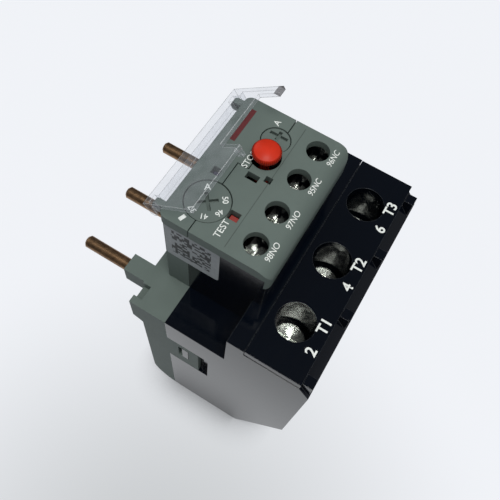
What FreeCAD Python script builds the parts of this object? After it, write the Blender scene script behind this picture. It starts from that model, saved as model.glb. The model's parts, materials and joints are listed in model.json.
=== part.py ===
"""Thermal overload relay, three poles, for direct mounting under a contactor.

Frame: millimetres, +Z out of the front face, +Y towards the three line pins, +X from pole 1 to pole 3.
The origin lies on the back plane (Z = 0), on the middle of the housing's width.
"""
import FreeCAD, Part
import math
import os
import Sketcher
from FreeCAD import Placement, Rotation, Vector

# Driving dimensions: alias, value, what it measures.
SIZES = [
    # power housing
    ("case_margin", 3.45, "side wall beyond half the pitch of the outer poles"),
    ("cover_rise", 18.5, "shoulder to the top of the terminal cover"),
    ("shoulder_depth", 80.5, "back plane to the shoulder that carries the control module"),
    ("terminal_side", 30.2, "middle axis to the terminal end wall"),
    ("joint_line", 17.4, "middle axis to the parting line of body and end housing"),
    ("barrier_drop", 0.3, "phase barrier below the terminal cover"),
    ("barrier_root", 1.0, "phase barrier below the bevel"),
    ("edge_round", 2.0, "rounded edges of the sloped cut"),
    ("foot_rise", 34.2, "height of the sloped cut under the terminals"),
    ("foot_run", 18.2, "run of the sloped cut under the terminals"),
    ("bevel_rise", 4.6, "height of the bevel above the wire entries"),
    ("bevel_run", 3.6, "run of the bevel above the wire entries"),
    ("pole_pitch", 22.0, "distance between poles"),
    ("pole_shift", 0.45, "middle pole to middle axis"),
    ("barrier_width", 3.2, "phase barrier between wire entries"),
    ("barrier_shift", 1.4, "phase barrier to the mid-line between two poles"),
    ("barrier_reach", 3.1, "phase barrier beyond the terminal cover"),
    ("ledge_width", 5.4, "raised ledge behind the terminal cover"),
    # terminals
    ("terminal_axis", 17.0, "middle axis to the terminal screws"),
    ("cover_thick", 3.0, "terminal cover"),
    ("cover_back", 9.15, "middle axis to the back edge of the terminal cover"),
    ("cover_gap", 0.15, "gap round the terminal cover"),
    ("well_radius", 5.8, "screw well in the terminal cover"),
    ("well_ease", 0.3, "well in the body beyond the well in the cover"),
    ("well_depth", 21.5, "top of the terminal cover to the floor under the screw heads"),
    ("well_floor_thick", 2.0, "floor under the screw heads"),
    ("clamp_room_width", 14.4, "clamp chamber along X"),
    ("clamp_room_back", 11.2, "middle axis to the back wall of the clamp chamber"),
    ("clamp_room_height", 20.9, "height of the clamp chamber"),
    ("screw_head_radius", 5.0, "clamp screw head"),
    ("screw_head_height", 4.5, "clamp screw head"),
    ("screw_radius", 3.0, "clamp screw shank"),
    ("screw_slot", 1.4, "driver slot of the clamp screw"),
    ("slot_depth", 1.6, "depth of the driver slots"),
    ("thread_ease", 0.05, "radial play of a screw in its thread"),
    ("cage_width", 13.6, "box clamp along X"),
    ("cage_length", 11.0, "box clamp along Y"),
    ("cage_wall", 1.5, "box clamp side wall"),
    ("cage_top", 2.4, "threaded top of the box clamp"),
    ("cage_bottom", 2.0, "bottom of the box clamp"),
    ("wire_room", 10.0, "room for the conductor in the open clamp"),
    ("tongue_drop", 8.5, "clamp chamber roof to the underside of the contact tongue"),
    ("tongue_thick", 2.0, "contact tongue"),
    ("tongue_width", 10.0, "contact tongue"),
    # line pins and end housing
    ("end_plane", 26.8, "middle axis to the pin-side end wall"),
    ("band_step", 3.6, "pin-side band beyond the end wall"),
    ("band_height", 12.2, "height of the pin-side band"),
    ("band_slope", 2.0, "slope under the pin-side band"),
    ("heel_radius", 13.0, "rounded corner of end wall and back"),
    ("end_wall", 2.2, "wall of the end housing"),
    ("pin_shift", -3.55, "middle pin to middle axis"),
    ("pin_radius", 2.1, "line pin outside its sleeve"),
    ("shank_radius", 1.8, "line pin inside its sleeve"),
    ("pin_drop", 3.9, "line pins below the shoulder"),
    ("pin_tip", 54.9, "middle axis to the tips of the line pins"),
    ("pin_chamfer", 0.6, "chamfer on the pin tips"),
    ("pin_ease", 0.05, "radial play of a pin in its sleeve"),
    ("sleeve_width", 6.2, "insulating sleeve along X"),
    ("sleeve_tip", 38.0, "middle axis to the sleeve ends"),
    ("pin_tail", 6.0, "pin inside the parting line"),
    ("groove_width", 4.8, "guide groove beside each sleeve"),
    ("groove_depth", 3.0, "guide groove beside each sleeve"),
    ("groove_drop", 3.6, "floor of the guide grooves below the shoulder"),
    ("groove_offset", 6.0, "guide groove axis to pin axis"),
    ("heater_partition", 3.4, "wall between two heater chambers"),
    ("heater_room_front", 8.0, "middle axis to the heater chamber on the terminal side"),
    ("heater_roof", 3.6, "roof of the heater chambers"),
    # side latch
    ("latch_low", 46.0, "underside of the latch window"),
    ("latch_high", 65.5, "top of the latch window"),
    ("latch_depth", 1.9, "depth of the latch window"),
    ("latch_start", 1.8, "middle axis to the closed end of the latch window"),
    ("latch_tip", 5.5, "middle axis to the tip of the latch arm"),
    ("latch_rail", 3.8, "rail at the tip of the latch arm"),
    ("latch_border", 6.6, "height of the lower and upper rail of the latch arm"),
    ("catch_length", 2.3, "catch along Y"),
    ("latch_slit", 1.5, "free slit behind the catch"),
    ("latch_ease", 0.2, "gap round the latch arm"),
    # bimetals and trip slide
    ("heater_floor", 4.8, "height of the floor of the heater chambers"),
    ("strip_offset", 6.0, "bimetal strip to pole axis"),
    ("strip_thick", 0.9, "bimetal strip"),
    ("strip_width", 6.0, "bimetal strip"),
    ("strip_y", 4.0, "middle axis to the middle of the bimetal strips"),
    ("strip_drop", 16.5, "tips of the bimetal strips below the shoulder"),
    ("strip_foot", 5.0, "foot of the bimetal strips along X"),
    ("strip_foot_height", 3.0, "foot of the bimetal strips"),
    ("winding_low", 14.0, "height of the lowest heater turn"),
    ("winding_pitch", 5.0, "pitch of the heater turns"),
    ("winding_turn", 2.6, "height of one heater turn"),
    ("winding_out", 1.2, "heater turn outside the strip"),
    ("slide_y", 8.1, "middle axis to the trip slide"),
    ("slide_width", 1.8, "trip slide along Y"),
    ("slide_drop", 20.5, "underside of the trip slide below the shoulder"),
    ("slide_height", 3.0, "trip slide"),
    ("slide_travel", 1.5, "stroke of the trip slide"),
    ("slide_ease", 0.25, "gap round the trip slide in its windows"),
    ("finger_gap", 0.4, "free gap between bimetal strip and finger"),
    ("finger_length", 5.6, "fingers of the trip slide along Y"),
    ("peg_x", -7.55, "peg of the trip slide"),
    ("peg_width", 1.5, "peg of the trip slide"),
    ("peg_rise", 9.5, "top of the peg above the shoulder"),
    ("peg_room", 1.0, "free space round the peg in the roof"),
    # trip lever and flag
    ("lever_x", -4.5, "pivot of the trip lever"),
    ("lever_rise", 16.5, "pivot of the trip lever above the shoulder"),
    ("lever_hub", 2.0, "hub radius of the trip lever"),
    ("lever_pin_radius", 0.9, "pivot pin of the trip lever"),
    ("lever_arm", 1.4, "thickness of the arms of the trip lever"),
    ("lever_drop", 10.0, "pivot to the lower end of the trip lever"),
    ("lever_top_gap", 2.6, "trip flag to the upper end of the trip lever"),
    ("lever_gap", 0.3, "gap between lever and the pieces that it meets"),
    ("flag_width", 3.0, "trip flag along X"),
    ("flag_thick", 1.5, "trip flag"),
    ("flag_sink", 2.8, "trip flag below the front face"),
    ("flag_peg", 1.3, "peg of the trip flag"),
    ("flag_peg_lap", 0.3, "peg of the trip flag below the arm of the lever"),
    ("flag_peg_y", 17.3, "middle axis to the peg of the trip flag"),
    ("flag_shelf_thick", 2.0, "shelf under the trip flag"),
    ("flag_travel", 3.0, "stroke of the trip flag"),
    # control module
    ("module_left", 23.5, "middle axis to the left edge of the front face"),
    ("module_right", 21.6, "middle axis to the right edge of the front face"),
    ("module_height", 40.6, "shoulder to the front face"),
    ("module_pin_side", 25.8, "middle axis to the pin-side edge of the front face"),
    ("module_front", 7.3, "middle axis to the terminal-side edge of the front face"),
    ("lip_overhang", 0.85, "lip of the front face beyond the module walls"),
    ("lip_height", 3.8, "height of the lip"),
    ("face_thick", 2.5, "front face"),
    ("face_round", 4.5, "rounding of the terminal-side edge"),
    ("corner_round", 2.2, "upright corners of the front face"),
    ("apron_height", 8.6, "terminal-side apron of the front face"),
    ("apron_thick", 1.4, "terminal-side apron of the front face"),
    ("skirt_thick", 1.6, "skirt of the upper cover"),
    ("seam_gap", 0.3, "gap between the two covers"),
    ("seam_high", 16.8, "seam left of the step"),
    ("seam_middle", 13.5, "seam between the step and the stop button"),
    ("seam_low", 10.4, "seam right of the buttons"),
    ("seam_step", 0.8, "middle axis to the step of the seam"),
    ("module_wall", 1.8, "wall of the control housing"),
    ("module_floor", 2.4, "floor of the control housing"),
    ("fit_gap", 0.15, "gap between nested moulded pieces"),
    ("module_foot", 3.3, "middle axis to the foot of the control housing"),
    # auxiliary terminals
    ("aux_pitch", 10.69, "pitch inside each contact pair"),
    ("aux_pair_gap", 11.69, "distance between the two contact pairs"),
    ("aux_shift", -0.66, "middle of the four auxiliary terminals to middle axis"),
    ("aux_axis", 0.5, "middle axis to the auxiliary screws"),
    ("aux_hole_radius", 3.3, "screw hole of the auxiliary terminals"),
    ("aux_room_width", 7.6, "chamber of an auxiliary terminal along X"),
    ("aux_room_length", 8.8, "chamber of an auxiliary terminal along Y"),
    ("aux_floor_thick", 1.85, "floor of the auxiliary chambers"),
    ("aux_entry_width", 5.4, "wire entry of an auxiliary terminal"),
    ("aux_entry_height", 5.2, "wire entry of an auxiliary terminal"),
    ("aux_contact_thick", 1.2, "contact strip"),
    ("aux_saddle_thick", 1.2, "pressure saddle"),
    ("aux_saddle_gap", 0.1, "saddle to screw head"),
    ("aux_saddle_width", 6.6, "pressure saddle"),
    ("aux_head_radius", 2.9, "auxiliary screw head"),
    ("aux_head_sink", 6.0, "auxiliary screw heads below the front face"),
    ("aux_head_height", 5.0, "auxiliary screw head"),
    ("aux_screw_radius", 1.75, "auxiliary screw shank"),
    ("aux_slot", 0.9, "cross slot of the auxiliary screw"),
    # controls
    ("dial_x", -13.42, "setting dial"),
    ("dial_y", 17.14, "setting dial"),
    ("dial_radius", 6.15, "setting dial"),
    ("dial_sink", 0.25, "setting dial below the front face"),
    ("dial_disc", 2.2, "disc of the setting dial"),
    ("dial_slot", 5.6, "cross slot of the setting dial"),
    ("dial_slot_width", 0.9, "cross slot of the setting dial"),
    ("dial_slot_depth", 1.2, "cross slot of the setting dial"),
    ("seat_depth", 1.5, "seats of dial and reset knob in the core"),
    ("hub_radius", 2.2, "hub of the setting dial"),
    ("control_gap", 0.25, "gap round the controls"),
    ("bore_ease", 0.08, "radial play of hubs and stems in their bosses"),
    ("boss_wall", 1.4, "wall of the guide bosses"),
    ("boss_sink", 17.1, "guide bosses below the front face"),
    ("stop_x", 6.45, "stop button"),
    ("stop_y", 11.4, "stop button"),
    ("stop_radius", 4.05, "stop button"),
    ("stop_rise", 3.0, "stop button above the front face"),
    ("stop_travel", 1.5, "stroke of the stop button"),
    ("stop_edge", 0.5, "broken edge of the stop button"),
    ("stem_radius", 1.4, "stems of stop button and reset knob"),
    ("stem_reach", 25.1, "lower ends of the stems below the front face"),
    ("collar_radius", 2.8, "spring collars"),
    ("collar_sink", 10.1, "underside of the spring collars below the front face"),
    ("collar_thick", 1.2, "spring collars"),
    ("spring_wire", 0.6, "spring wire"),
    ("spring_radius", 2.15, "mean radius of the springs"),
    ("knob_x", 12.6, "reset knob"),
    ("knob_y", 11.9, "reset knob"),
    ("knob_radius", 4.05, "reset knob"),
    ("knob_disc", 2.0, "disc of the reset knob"),
    ("knob_slot_shift", 1.8, "cross slot to the knob axis"),
    ("knob_slot_length", 5.4, "long slot of the reset knob"),
    ("knob_slot_cross", 3.1, "short slot of the reset knob"),
    ("knob_slot_width", 1.0, "slots of the reset knob"),
    ("knob_slot_depth", 1.2, "slots of the reset knob"),
    ("knob_stem_sink", 5.6, "stem inside the reset knob below the front face"),
    ("test_x", -13.55, "test plunger"),
    ("test_y", 9.2, "test plunger"),
    ("test_width", 2.2, "test plunger along X"),
    ("test_length", 2.5, "test plunger along Y"),
    ("test_sink", 2.3, "test plunger below the front face"),
    ("test_foot_rise", 2.6, "pivot of the trip lever to the foot of the test plunger"),
    ("test_guide_sink", 11.1, "plunger guide below the front face"),
    ("test_guide_height", 6.0, "plunger guide"),
    ("window_x", -4.65, "trip window"),
    ("window_y", 20.1, "trip window"),
    ("window_side", 2.4, "trip window"),
    ("latch_pocket_x", -1.05, "catch pocket for the lid"),
    ("latch_pocket_y", 11.2, "catch pocket for the lid"),
    ("latch_pocket_width", 2.2, "catch pocket for the lid along X"),
    ("latch_pocket_length", 3.6, "catch pocket for the lid along Y"),
    ("peg_hole_x", 0.45, "square seal hole"),
    ("peg_hole_y", 7.2, "square seal hole"),
    ("peg_hole_side", 2.0, "square seal hole"),
    # flip lid
    ("lid_axis_out", 1.6, "hinge axis beyond the edge of the front face"),
    ("lid_axis_sink", 1.8, "hinge axis below the front face"),
    ("lid_thick", 1.2, "lid"),
    ("lid_lift", 0.25, "gap between the closed lid and the front face"),
    ("lid_inset", 0.5, "lid inside the sides of the front face"),
    ("lid_reach", 17.0, "hinge axis to the free edge of the lid"),
    ("lid_arm", 17.0, "hinge axis to the end of the right arm of the lid"),
    ("lid_tail", 1.3, "lid behind its hinge axis"),
    ("rail_inside", 0.3, "hinge rail of the lid in front of the axis"),
    ("rail_drop", 1.0, "hinge rail of the lid below the axis"),
    ("lid_notch", 10.0, "hinge axis to the bottom of the notch over the buttons"),
    ("lid_notch_left", -1.0, "notch over the buttons"),
    ("lid_notch_right", 18.2, "notch over the buttons"),
    ("hook_left", -2.0, "catch hook of the lid"),
    ("hook_near", 14.9, "hinge axis to the near side of the hook"),
    ("hook_far", 16.8, "hinge axis to the far side of the hook"),
    ("hook_drop", 2.2, "catch hook of the lid below its plate"),
    ("ear_radius", 1.3, "hinge ear of the lid"),
    ("ear_thick", 1.6, "hinge ear of the lid"),
    ("pivot_radius", 0.9, "pivot stub of the lid"),
    ("pivot_length", 1.5, "pivot stub of the lid"),
    ("lug_radius", 1.6, "hinge lug of the upper cover"),
    ("lug_thick", 2.0, "hinge lug of the upper cover"),
]

# Driving angles in degrees: alias, value, what it measures.
ANGLES = [
    ("lid_open", 37.0, "opening angle of the lid at rest"),
    ("dial_slot_turn", 40.0, "cross slot of the setting dial, turned from +X"),
]

POLES = (-1, 0, 1)
AUX_COUNT = 4
SPRING_TURNS = 4
HEATER_TURNS = 8

doc = FreeCAD.newDocument("thermal_overload_relay")
sheet = doc.addObject("Spreadsheet::Sheet", "sizes")


class Size:
    """A length known both as a number and as the sheet expression that drives it."""

    def __init__(self, value, text):
        self.value = value
        self.text = text

    def _join(self, other, sign, value):
        return Size(value, "(%s %s %s)" % (self.text, sign, other.text))

    def __add__(self, other):
        other = as_size(other)
        return self._join(other, "+", self.value + other.value)

    def __sub__(self, other):
        other = as_size(other)
        return self._join(other, "-", self.value - other.value)

    def __mul__(self, other):
        other = as_size(other)
        return self._join(other, "*", self.value * other.value)

    def __truediv__(self, other):
        other = as_size(other)
        return self._join(other, "/", self.value / other.value)

    def __neg__(self):
        return Size(-self.value, "(-%s)" % self.text)

    __radd__ = __add__

    def __rsub__(self, other):
        return as_size(other) - self


def as_size(number):
    """Plain numbers join expressions as they are."""
    return number if isinstance(number, Size) else Size(float(number), "%.6g" % number)


class Sizes:
    """Gives each alias of the sheet as a Size."""


S = Sizes()
for row, (alias, value, note) in enumerate(SIZES + ANGLES, start=1):
    sheet.set("A%d" % row, alias)
    sheet.set("B%d" % row, "%g" % value if row <= len(SIZES) else "=%g deg" % value)
    sheet.setAlias("B%d" % row, alias)
    sheet.set("C%d" % row, note)
    setattr(S, alias, Size(value, "sizes." + alias))
doc.recompute()


def cosine(angle):
    return Size(math.cos(math.radians(angle.value)), "cos(%s)" % angle.text)


def sine(angle):
    return Size(math.sin(math.radians(angle.value)), "sin(%s)" % angle.text)


# ---------------------------------------------------------------- helpers

def bind(obj, prop, length):
    """Sets a property and ties it to the sheet."""
    obj.setExpression(prop, as_size(length).text)


def new_body(name):
    body = doc.addObject("PartDesign::Body", name)
    body.Label = name
    return body


def origin_plane(body, role):
    return [feature for feature in body.Origin.OriginFeatures if feature.Role == role][0]


PLANES = {"XY": ("XY_Plane", 1), "XZ": ("XZ_Plane", -1), "YZ": ("YZ_Plane", 1)}


def new_sketch(body, name, plane, start):
    """A sketch parallel to an origin plane of its body, `start` away along the world axis."""
    role, sign = PLANES[plane]
    sketch = body.newObject("Sketcher::SketchObject", name)
    sketch.AttachmentSupport = [(origin_plane(body, role), "")]
    sketch.MapMode = "FlatFace"
    bind(sketch, "AttachmentOffset.Base.z", as_size(start) * sign)
    return sketch


def fix_point(sketch, geometry, which, u, v):
    """Holds one point of the sketch at (u, v)."""
    for kind, length in (("DistanceX", as_size(u)), ("DistanceY", as_size(v))):
        number = sketch.addConstraint(Sketcher.Constraint(kind, -1, 1, geometry, which, length.value))
        sketch.setExpression("Constraints[%d]" % number, length.text)


def add_polygon(sketch, points):
    """A closed outline; a third value beside a point is the radius of that corner."""
    rounds = [(i, as_size(point[2])) for i, point in enumerate(points) if len(point) > 2]
    points = [(as_size(point[0]), as_size(point[1])) for point in points]
    corners = [Vector(u.value, v.value, 0) for u, v in points]
    first = sketch.GeometryCount
    count = len(points)
    for i in range(count):
        sketch.addGeometry(Part.LineSegment(corners[i], corners[(i + 1) % count]), False)
    for i in range(count):
        sketch.addConstraint(Sketcher.Constraint("Coincident", first + i, 2, first + (i + 1) % count, 1))
    for i in range(count):
        fix_point(sketch, first + i, 1, *points[i])
    for i, radius in rounds:
        sketch.fillet(first + (i - 1) % count, 2, radius.value, True, True, False)
        arc = max(j for j, g in enumerate(sketch.Geometry) if isinstance(g, Part.ArcOfCircle))
        number = sketch.addConstraint(Sketcher.Constraint("Radius", arc, radius.value))
        sketch.setExpression("Constraints[%d]" % number, radius.text)


def add_rectangle(sketch, u0, u1, v0, v1, *radius):
    corners = [(u0, v0), (u1, v0), (u1, v1), (u0, v1)]
    add_polygon(sketch, [corner + radius for corner in corners])


def add_circle(sketch, u, v, radius):
    u, v, radius = as_size(u), as_size(v), as_size(radius)
    circle = Part.Circle(Vector(u.value, v.value, 0), Vector(0, 0, 1), radius.value)
    index = sketch.addGeometry(circle, False)
    fix_point(sketch, index, 3, u, v)
    number = sketch.addConstraint(Sketcher.Constraint("Radius", index, radius.value))
    sketch.setExpression("Constraints[%d]" % number, radius.text)


def sweep_between(body, kind, name, plane, span, outlines):
    """Pads or pockets the outlines between two positions on the axis square to the plane."""
    low, high = span
    start = high if plane == "XZ" else low
    sketch = new_sketch(body, name + "_sketch", plane, start)
    for draw, arguments in outlines:
        draw(sketch, *arguments)
    feature = body.newObject("PartDesign::" + kind, name)
    feature.Profile = sketch
    feature.Reversed = kind == "Pocket"
    bind(feature, "Length", as_size(high) - low)
    sketch.Visibility = False
    return feature


def pad(body, name, plane, span, *outlines):
    return sweep_between(body, "Pad", name, plane, span, outlines)


def pocket(body, name, plane, span, *outlines):
    return sweep_between(body, "Pocket", name, plane, span, outlines)


def polygon(*points):
    return add_polygon, (points,)


def rectangle(u0, u1, v0, v1, *radius):
    return add_rectangle, (u0, u1, v0, v1) + radius


def circle(u, v, radius):
    return add_circle, (u, v, radius)


def row_of(body, feature, name, pitch, count):
    """Repeats a feature along +X."""
    pattern = body.newObject("PartDesign::LinearPattern", name)
    pattern.Originals = [feature]
    pattern.Direction = (feature.Profile[0], ["H_Axis"])
    pattern.Occurrences = count
    bind(pattern, "Length", pitch * (count - 1))
    body.Tip = pattern
    return pattern


def edges_where(shape, test):
    """Names of the straight edges whose middle point and direction pass the test."""
    names = []
    for number, edge in enumerate(shape.Edges, start=1):
        if edge.Curve.TypeId == "Part::GeomLine":
            middle = edge.CenterOfMass
            along = (edge.Vertexes[-1].Point - edge.Vertexes[0].Point).normalize()
            if test(middle, along):
                names.append("Edge%d" % number)
    return names


def near(a, b):
    return abs(a - as_size(b).value) < 0.02


def dress(body, kind, name, base, length, test):
    """Fillets or chamfers the chosen edges of the last feature."""
    doc.recompute()
    feature = body.newObject("PartDesign::" + kind, name)
    feature.Base = (base, edges_where(base.Shape, test))
    bind(feature, "Radius" if kind == "Fillet" else "Size", length)
    return feature


def bevel_rim(body, kind, name, base, length, axis, level):
    """Fillets or chamfers the round rim of a feature at one level along an axis."""
    doc.recompute()
    feature = body.newObject("PartDesign::" + kind, name)
    rims = ["Edge%d" % number for number, edge in enumerate(base.Shape.Edges, start=1)
            if edge.Curve.TypeId == "Part::GeomCircle" and near(getattr(edge.CenterOfMass, axis), level)]
    feature.Base = (base, rims)
    bind(feature, "Radius" if kind == "Fillet" else "Size", length)
    return feature


def block(name, x, y, z):
    """A box between pairs of positions."""
    box = doc.addObject("Part::Box", name)
    for prop, axis, (low, high) in (("Length", "x", x), ("Width", "y", y), ("Height", "z", z)):
        bind(box, prop, as_size(high) - low)
        bind(box, "Placement.Base." + axis, low)
    return box


TURNS = {"x": Rotation(Vector(0, 1, 0), 90), "y": Rotation(Vector(1, 0, 0), -90), "z": Rotation()}


def rod(name, axis, radius, base, length):
    """A cylinder that starts at `base` and runs along +X, +Y or +Z."""
    cylinder = doc.addObject("Part::Cylinder", name)
    cylinder.Placement = Placement(Vector(), TURNS[axis])
    bind(cylinder, "Radius", radius)
    bind(cylinder, "Height", length)
    for letter, position in zip("xyz", base):
        bind(cylinder, "Placement.Base." + letter, position)
    return cylinder


def fuse(name, pieces):
    union = doc.addObject("Part::MultiFuse", name)
    union.Shapes = pieces
    return union


def cut(name, base, tool):
    result = doc.addObject("Part::Cut", name)
    result.Base = base
    result.Tool = tool
    return result


nodes = []


def hand_over(obj, name):
    """Marks a finished sub-part; its label names its file."""
    obj.Label = name
    nodes.append(obj)


# ---------------------------------------------------------------- places shared by several pieces

half_case = S.pole_pitch * 1.5 + S.case_margin
case_depth = S.shoulder_depth + S.cover_rise
module_top = S.shoulder_depth + S.module_height
cover_bottom = case_depth - S.cover_thick
cover_front = S.terminal_side - S.bevel_run
well_floor = case_depth - S.well_depth
clamp_room_top = well_floor - S.well_floor_thick
tongue_level = clamp_room_top - S.tongue_drop
tongue_top = tongue_level + S.tongue_thick
pin_level = S.shoulder_depth - S.pin_drop
pin_start = S.sleeve_tip + S.fit_gap
pin_tail = S.joint_line - S.pin_tail
heater_room_top = S.shoulder_depth - S.heater_roof
slide_low = S.shoulder_depth - S.slide_drop
lever_z = S.shoulder_depth + S.lever_rise
overhang = case_depth + S.fit_gap
aux_room_floor = overhang + S.aux_floor_thick
module_left = S.module_left - S.lip_overhang
module_right = S.module_right - S.lip_overhang
module_front = S.module_front - S.lip_overhang
module_pin_side = S.module_pin_side - S.lip_overhang
face_under = module_top - S.face_thick
lip_under = module_top - S.lip_height
apron_under = module_top - S.apron_height
boss_top = module_top - S.boss_sink
stem_foot = module_top - S.stem_reach
collar_low = module_top - S.collar_sink
collar_top = collar_low + S.collar_thick
flag_low = module_top - S.flag_sink - S.flag_thick
lever_high = flag_low - S.lever_top_gap
test_foot = lever_z + S.test_foot_rise
lid_axis_y = S.module_pin_side + S.lid_axis_out
lid_axis_z = module_top - S.lid_axis_sink
room_front = S.aux_axis + S.aux_room_length / 2 + S.module_wall
lever_front = S.slide_y - S.slide_width / 2
lever_back = S.slide_y + S.slide_width / 2


def pole_x(k):
    """X of pole k, counted from the middle one."""
    return S.pole_shift + S.pole_pitch * k


def pin_x(k):
    return S.pin_shift + S.pole_pitch * k


def aux_x(k):
    """X of auxiliary terminal k = 0..3."""
    half = S.aux_pair_gap / 2
    if k < 2:
        return S.aux_shift - half - S.aux_pitch * (1 - k)
    return S.aux_shift + half + S.aux_pitch * (k - 2)


# ---------------------------------------------------------------- power housing

def round_heel(body, name, shell):
    """The rounded corner of end wall and back, which runs over the parting line."""
    return dress(body, "Fillet", name, shell, S.heel_radius,
                 lambda p, d: abs(d.x) > 0.9 and near(p.z, 0) and near(p.y, S.end_plane))


def peg_room():
    """Outline of the opening that the peg of the trip slide moves in."""
    half = S.peg_width / 2 + S.peg_room / 2
    side = S.slide_width / 2 + S.peg_room / 2
    return rectangle(S.peg_x - half, S.peg_x + half + S.slide_travel, S.slide_y - side, S.slide_y + side)


def make_main_body():
    """Black housing with clamp chambers, heater chambers, ledge and sloped foot."""
    body = new_body("main_body")
    outline = [
        (-S.terminal_side, S.foot_rise),
        (-S.terminal_side, cover_bottom - S.bevel_rise),
        (-cover_front, cover_bottom),
        (-S.cover_back, cover_bottom),
        (-S.cover_back, case_depth),
        (S.ledge_width - S.cover_back, case_depth),
        (S.ledge_width - S.cover_back, S.shoulder_depth),
        (S.end_plane, S.shoulder_depth),
        (S.end_plane, 0),
        (S.foot_run - S.terminal_side, 0),
    ]
    shell = pad(body, "body_shell", "YZ", (-half_case, half_case), polygon(*outline))
    heel = round_heel(body, "body_heel", shell)
    dress(body, "Fillet", "body_edges", heel, S.edge_round,
          lambda p, d: abs(d.x) > 0.9 and (near(p.z, S.foot_rise) or (near(p.z, 0) and p.y < 0)))
    pocket(body, "body_joint", "XZ", (S.joint_line, S.end_plane + 1),
           rectangle(-half_case - 1, half_case + 1, -1, S.shoulder_depth + 1))

    first = pole_x(-1)
    room = S.clamp_room_width / 2
    clamps = pocket(body, "clamp_rooms", "XY", (clamp_room_top - S.clamp_room_height, clamp_room_top),
                    rectangle(first - room, first + room, -S.terminal_side - 1, -S.clamp_room_back))
    row_of(body, clamps, "clamp_room_row", S.pole_pitch, len(POLES))
    wells = pocket(body, "screw_wells", "XY", (well_floor, case_depth),
                   circle(first, -S.terminal_axis, S.well_radius + S.well_ease))
    row_of(body, wells, "screw_well_row", S.pole_pitch, len(POLES))
    shanks = pocket(body, "shank_holes", "XY", (clamp_room_top - 1, well_floor + 1),
                    circle(first, -S.terminal_axis, S.screw_radius + S.control_gap))
    row_of(body, shanks, "shank_hole_row", S.pole_pitch, len(POLES))

    heater = (S.pole_pitch - S.heater_partition) / 2
    rooms = pocket(body, "heater_rooms", "XY", (S.heater_floor, heater_room_top),
                   rectangle(first - heater, first + heater, -S.heater_room_front, S.joint_line + 1))
    row_of(body, rooms, "heater_room_row", S.pole_pitch, len(POLES))
    slots = pocket(body, "tongue_slots", "XY",
                   (tongue_level - S.fit_gap, tongue_level + S.tongue_thick + S.fit_gap),
                   rectangle(first - S.tongue_width / 2 - S.fit_gap, first + S.tongue_width / 2 + S.fit_gap,
                             -S.clamp_room_back - 1, -S.heater_room_front + 1))
    row_of(body, slots, "tongue_slot_row", S.pole_pitch, len(POLES))

    ways = pocket(body, "pin_ways", "XZ", (pin_tail - S.fit_gap, S.joint_line + 1),
                  circle(pin_x(-1), pin_level, S.shank_radius + S.pin_ease))
    row_of(body, ways, "pin_way_row", S.pole_pitch, len(POLES))

    half_slide = S.slide_width / 2 + S.slide_ease
    pocket(body, "slide_way", "YZ", (pole_x(-1), pole_x(1)),
           rectangle(S.slide_y - half_slide, S.slide_y + half_slide,
                     slide_low - S.slide_ease, slide_low + S.slide_height + S.slide_ease))
    pocket(body, "peg_opening", "XY", (heater_room_top - 1, S.shoulder_depth + 1), peg_room())

    bar = S.barrier_width / 2
    rib = first - S.pole_pitch / 2 - S.barrier_shift
    ribs = pad(body, "barriers", "XY",
               (cover_bottom - S.bevel_rise - S.barrier_root, case_depth - S.barrier_drop),
               rectangle(rib - bar, rib + bar, -cover_front - S.barrier_reach, -cover_front - S.cover_gap))
    row_of(body, ribs, "barrier_row", S.pole_pitch, 4)

    for side, name in ((-1, "left"), (1, "right")):
        outer = half_case * side
        inner = outer - S.latch_depth * side
        low, high = (outer, inner) if side < 0 else (inner, outer)
        pocket(body, name + "_window", "YZ", (low, high),
               rectangle(S.latch_start, S.joint_line + 1, S.latch_low, S.latch_high))
        catch = S.latch_tip + S.latch_rail + S.latch_ease
        body.Tip = pad(body, name + "_catch", "YZ", (low, high),
                       rectangle(catch, catch + S.catch_length,
                                 S.latch_low + S.latch_border + S.latch_ease,
                                 S.latch_high - S.latch_border / 2 - S.latch_ease))
    hand_over(body, "main_body")


def make_terminal_cover():
    """Black plate over the clamp chambers, with the three screw wells."""
    body = new_body("terminal_cover")
    edge = half_case - S.cover_gap
    plate = pad(body, "cover_plate", "XY", (cover_bottom, case_depth),
                rectangle(-edge, edge, -cover_front, -S.cover_back - S.cover_gap))
    holes = pocket(body, "cover_holes", "XY", (cover_bottom - 1, case_depth + 1),
                   circle(pole_x(-1), -S.terminal_axis, S.well_radius))
    row_of(body, holes, "cover_hole_row", S.pole_pitch, len(POLES))
    hand_over(body, "terminal_cover")


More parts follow.
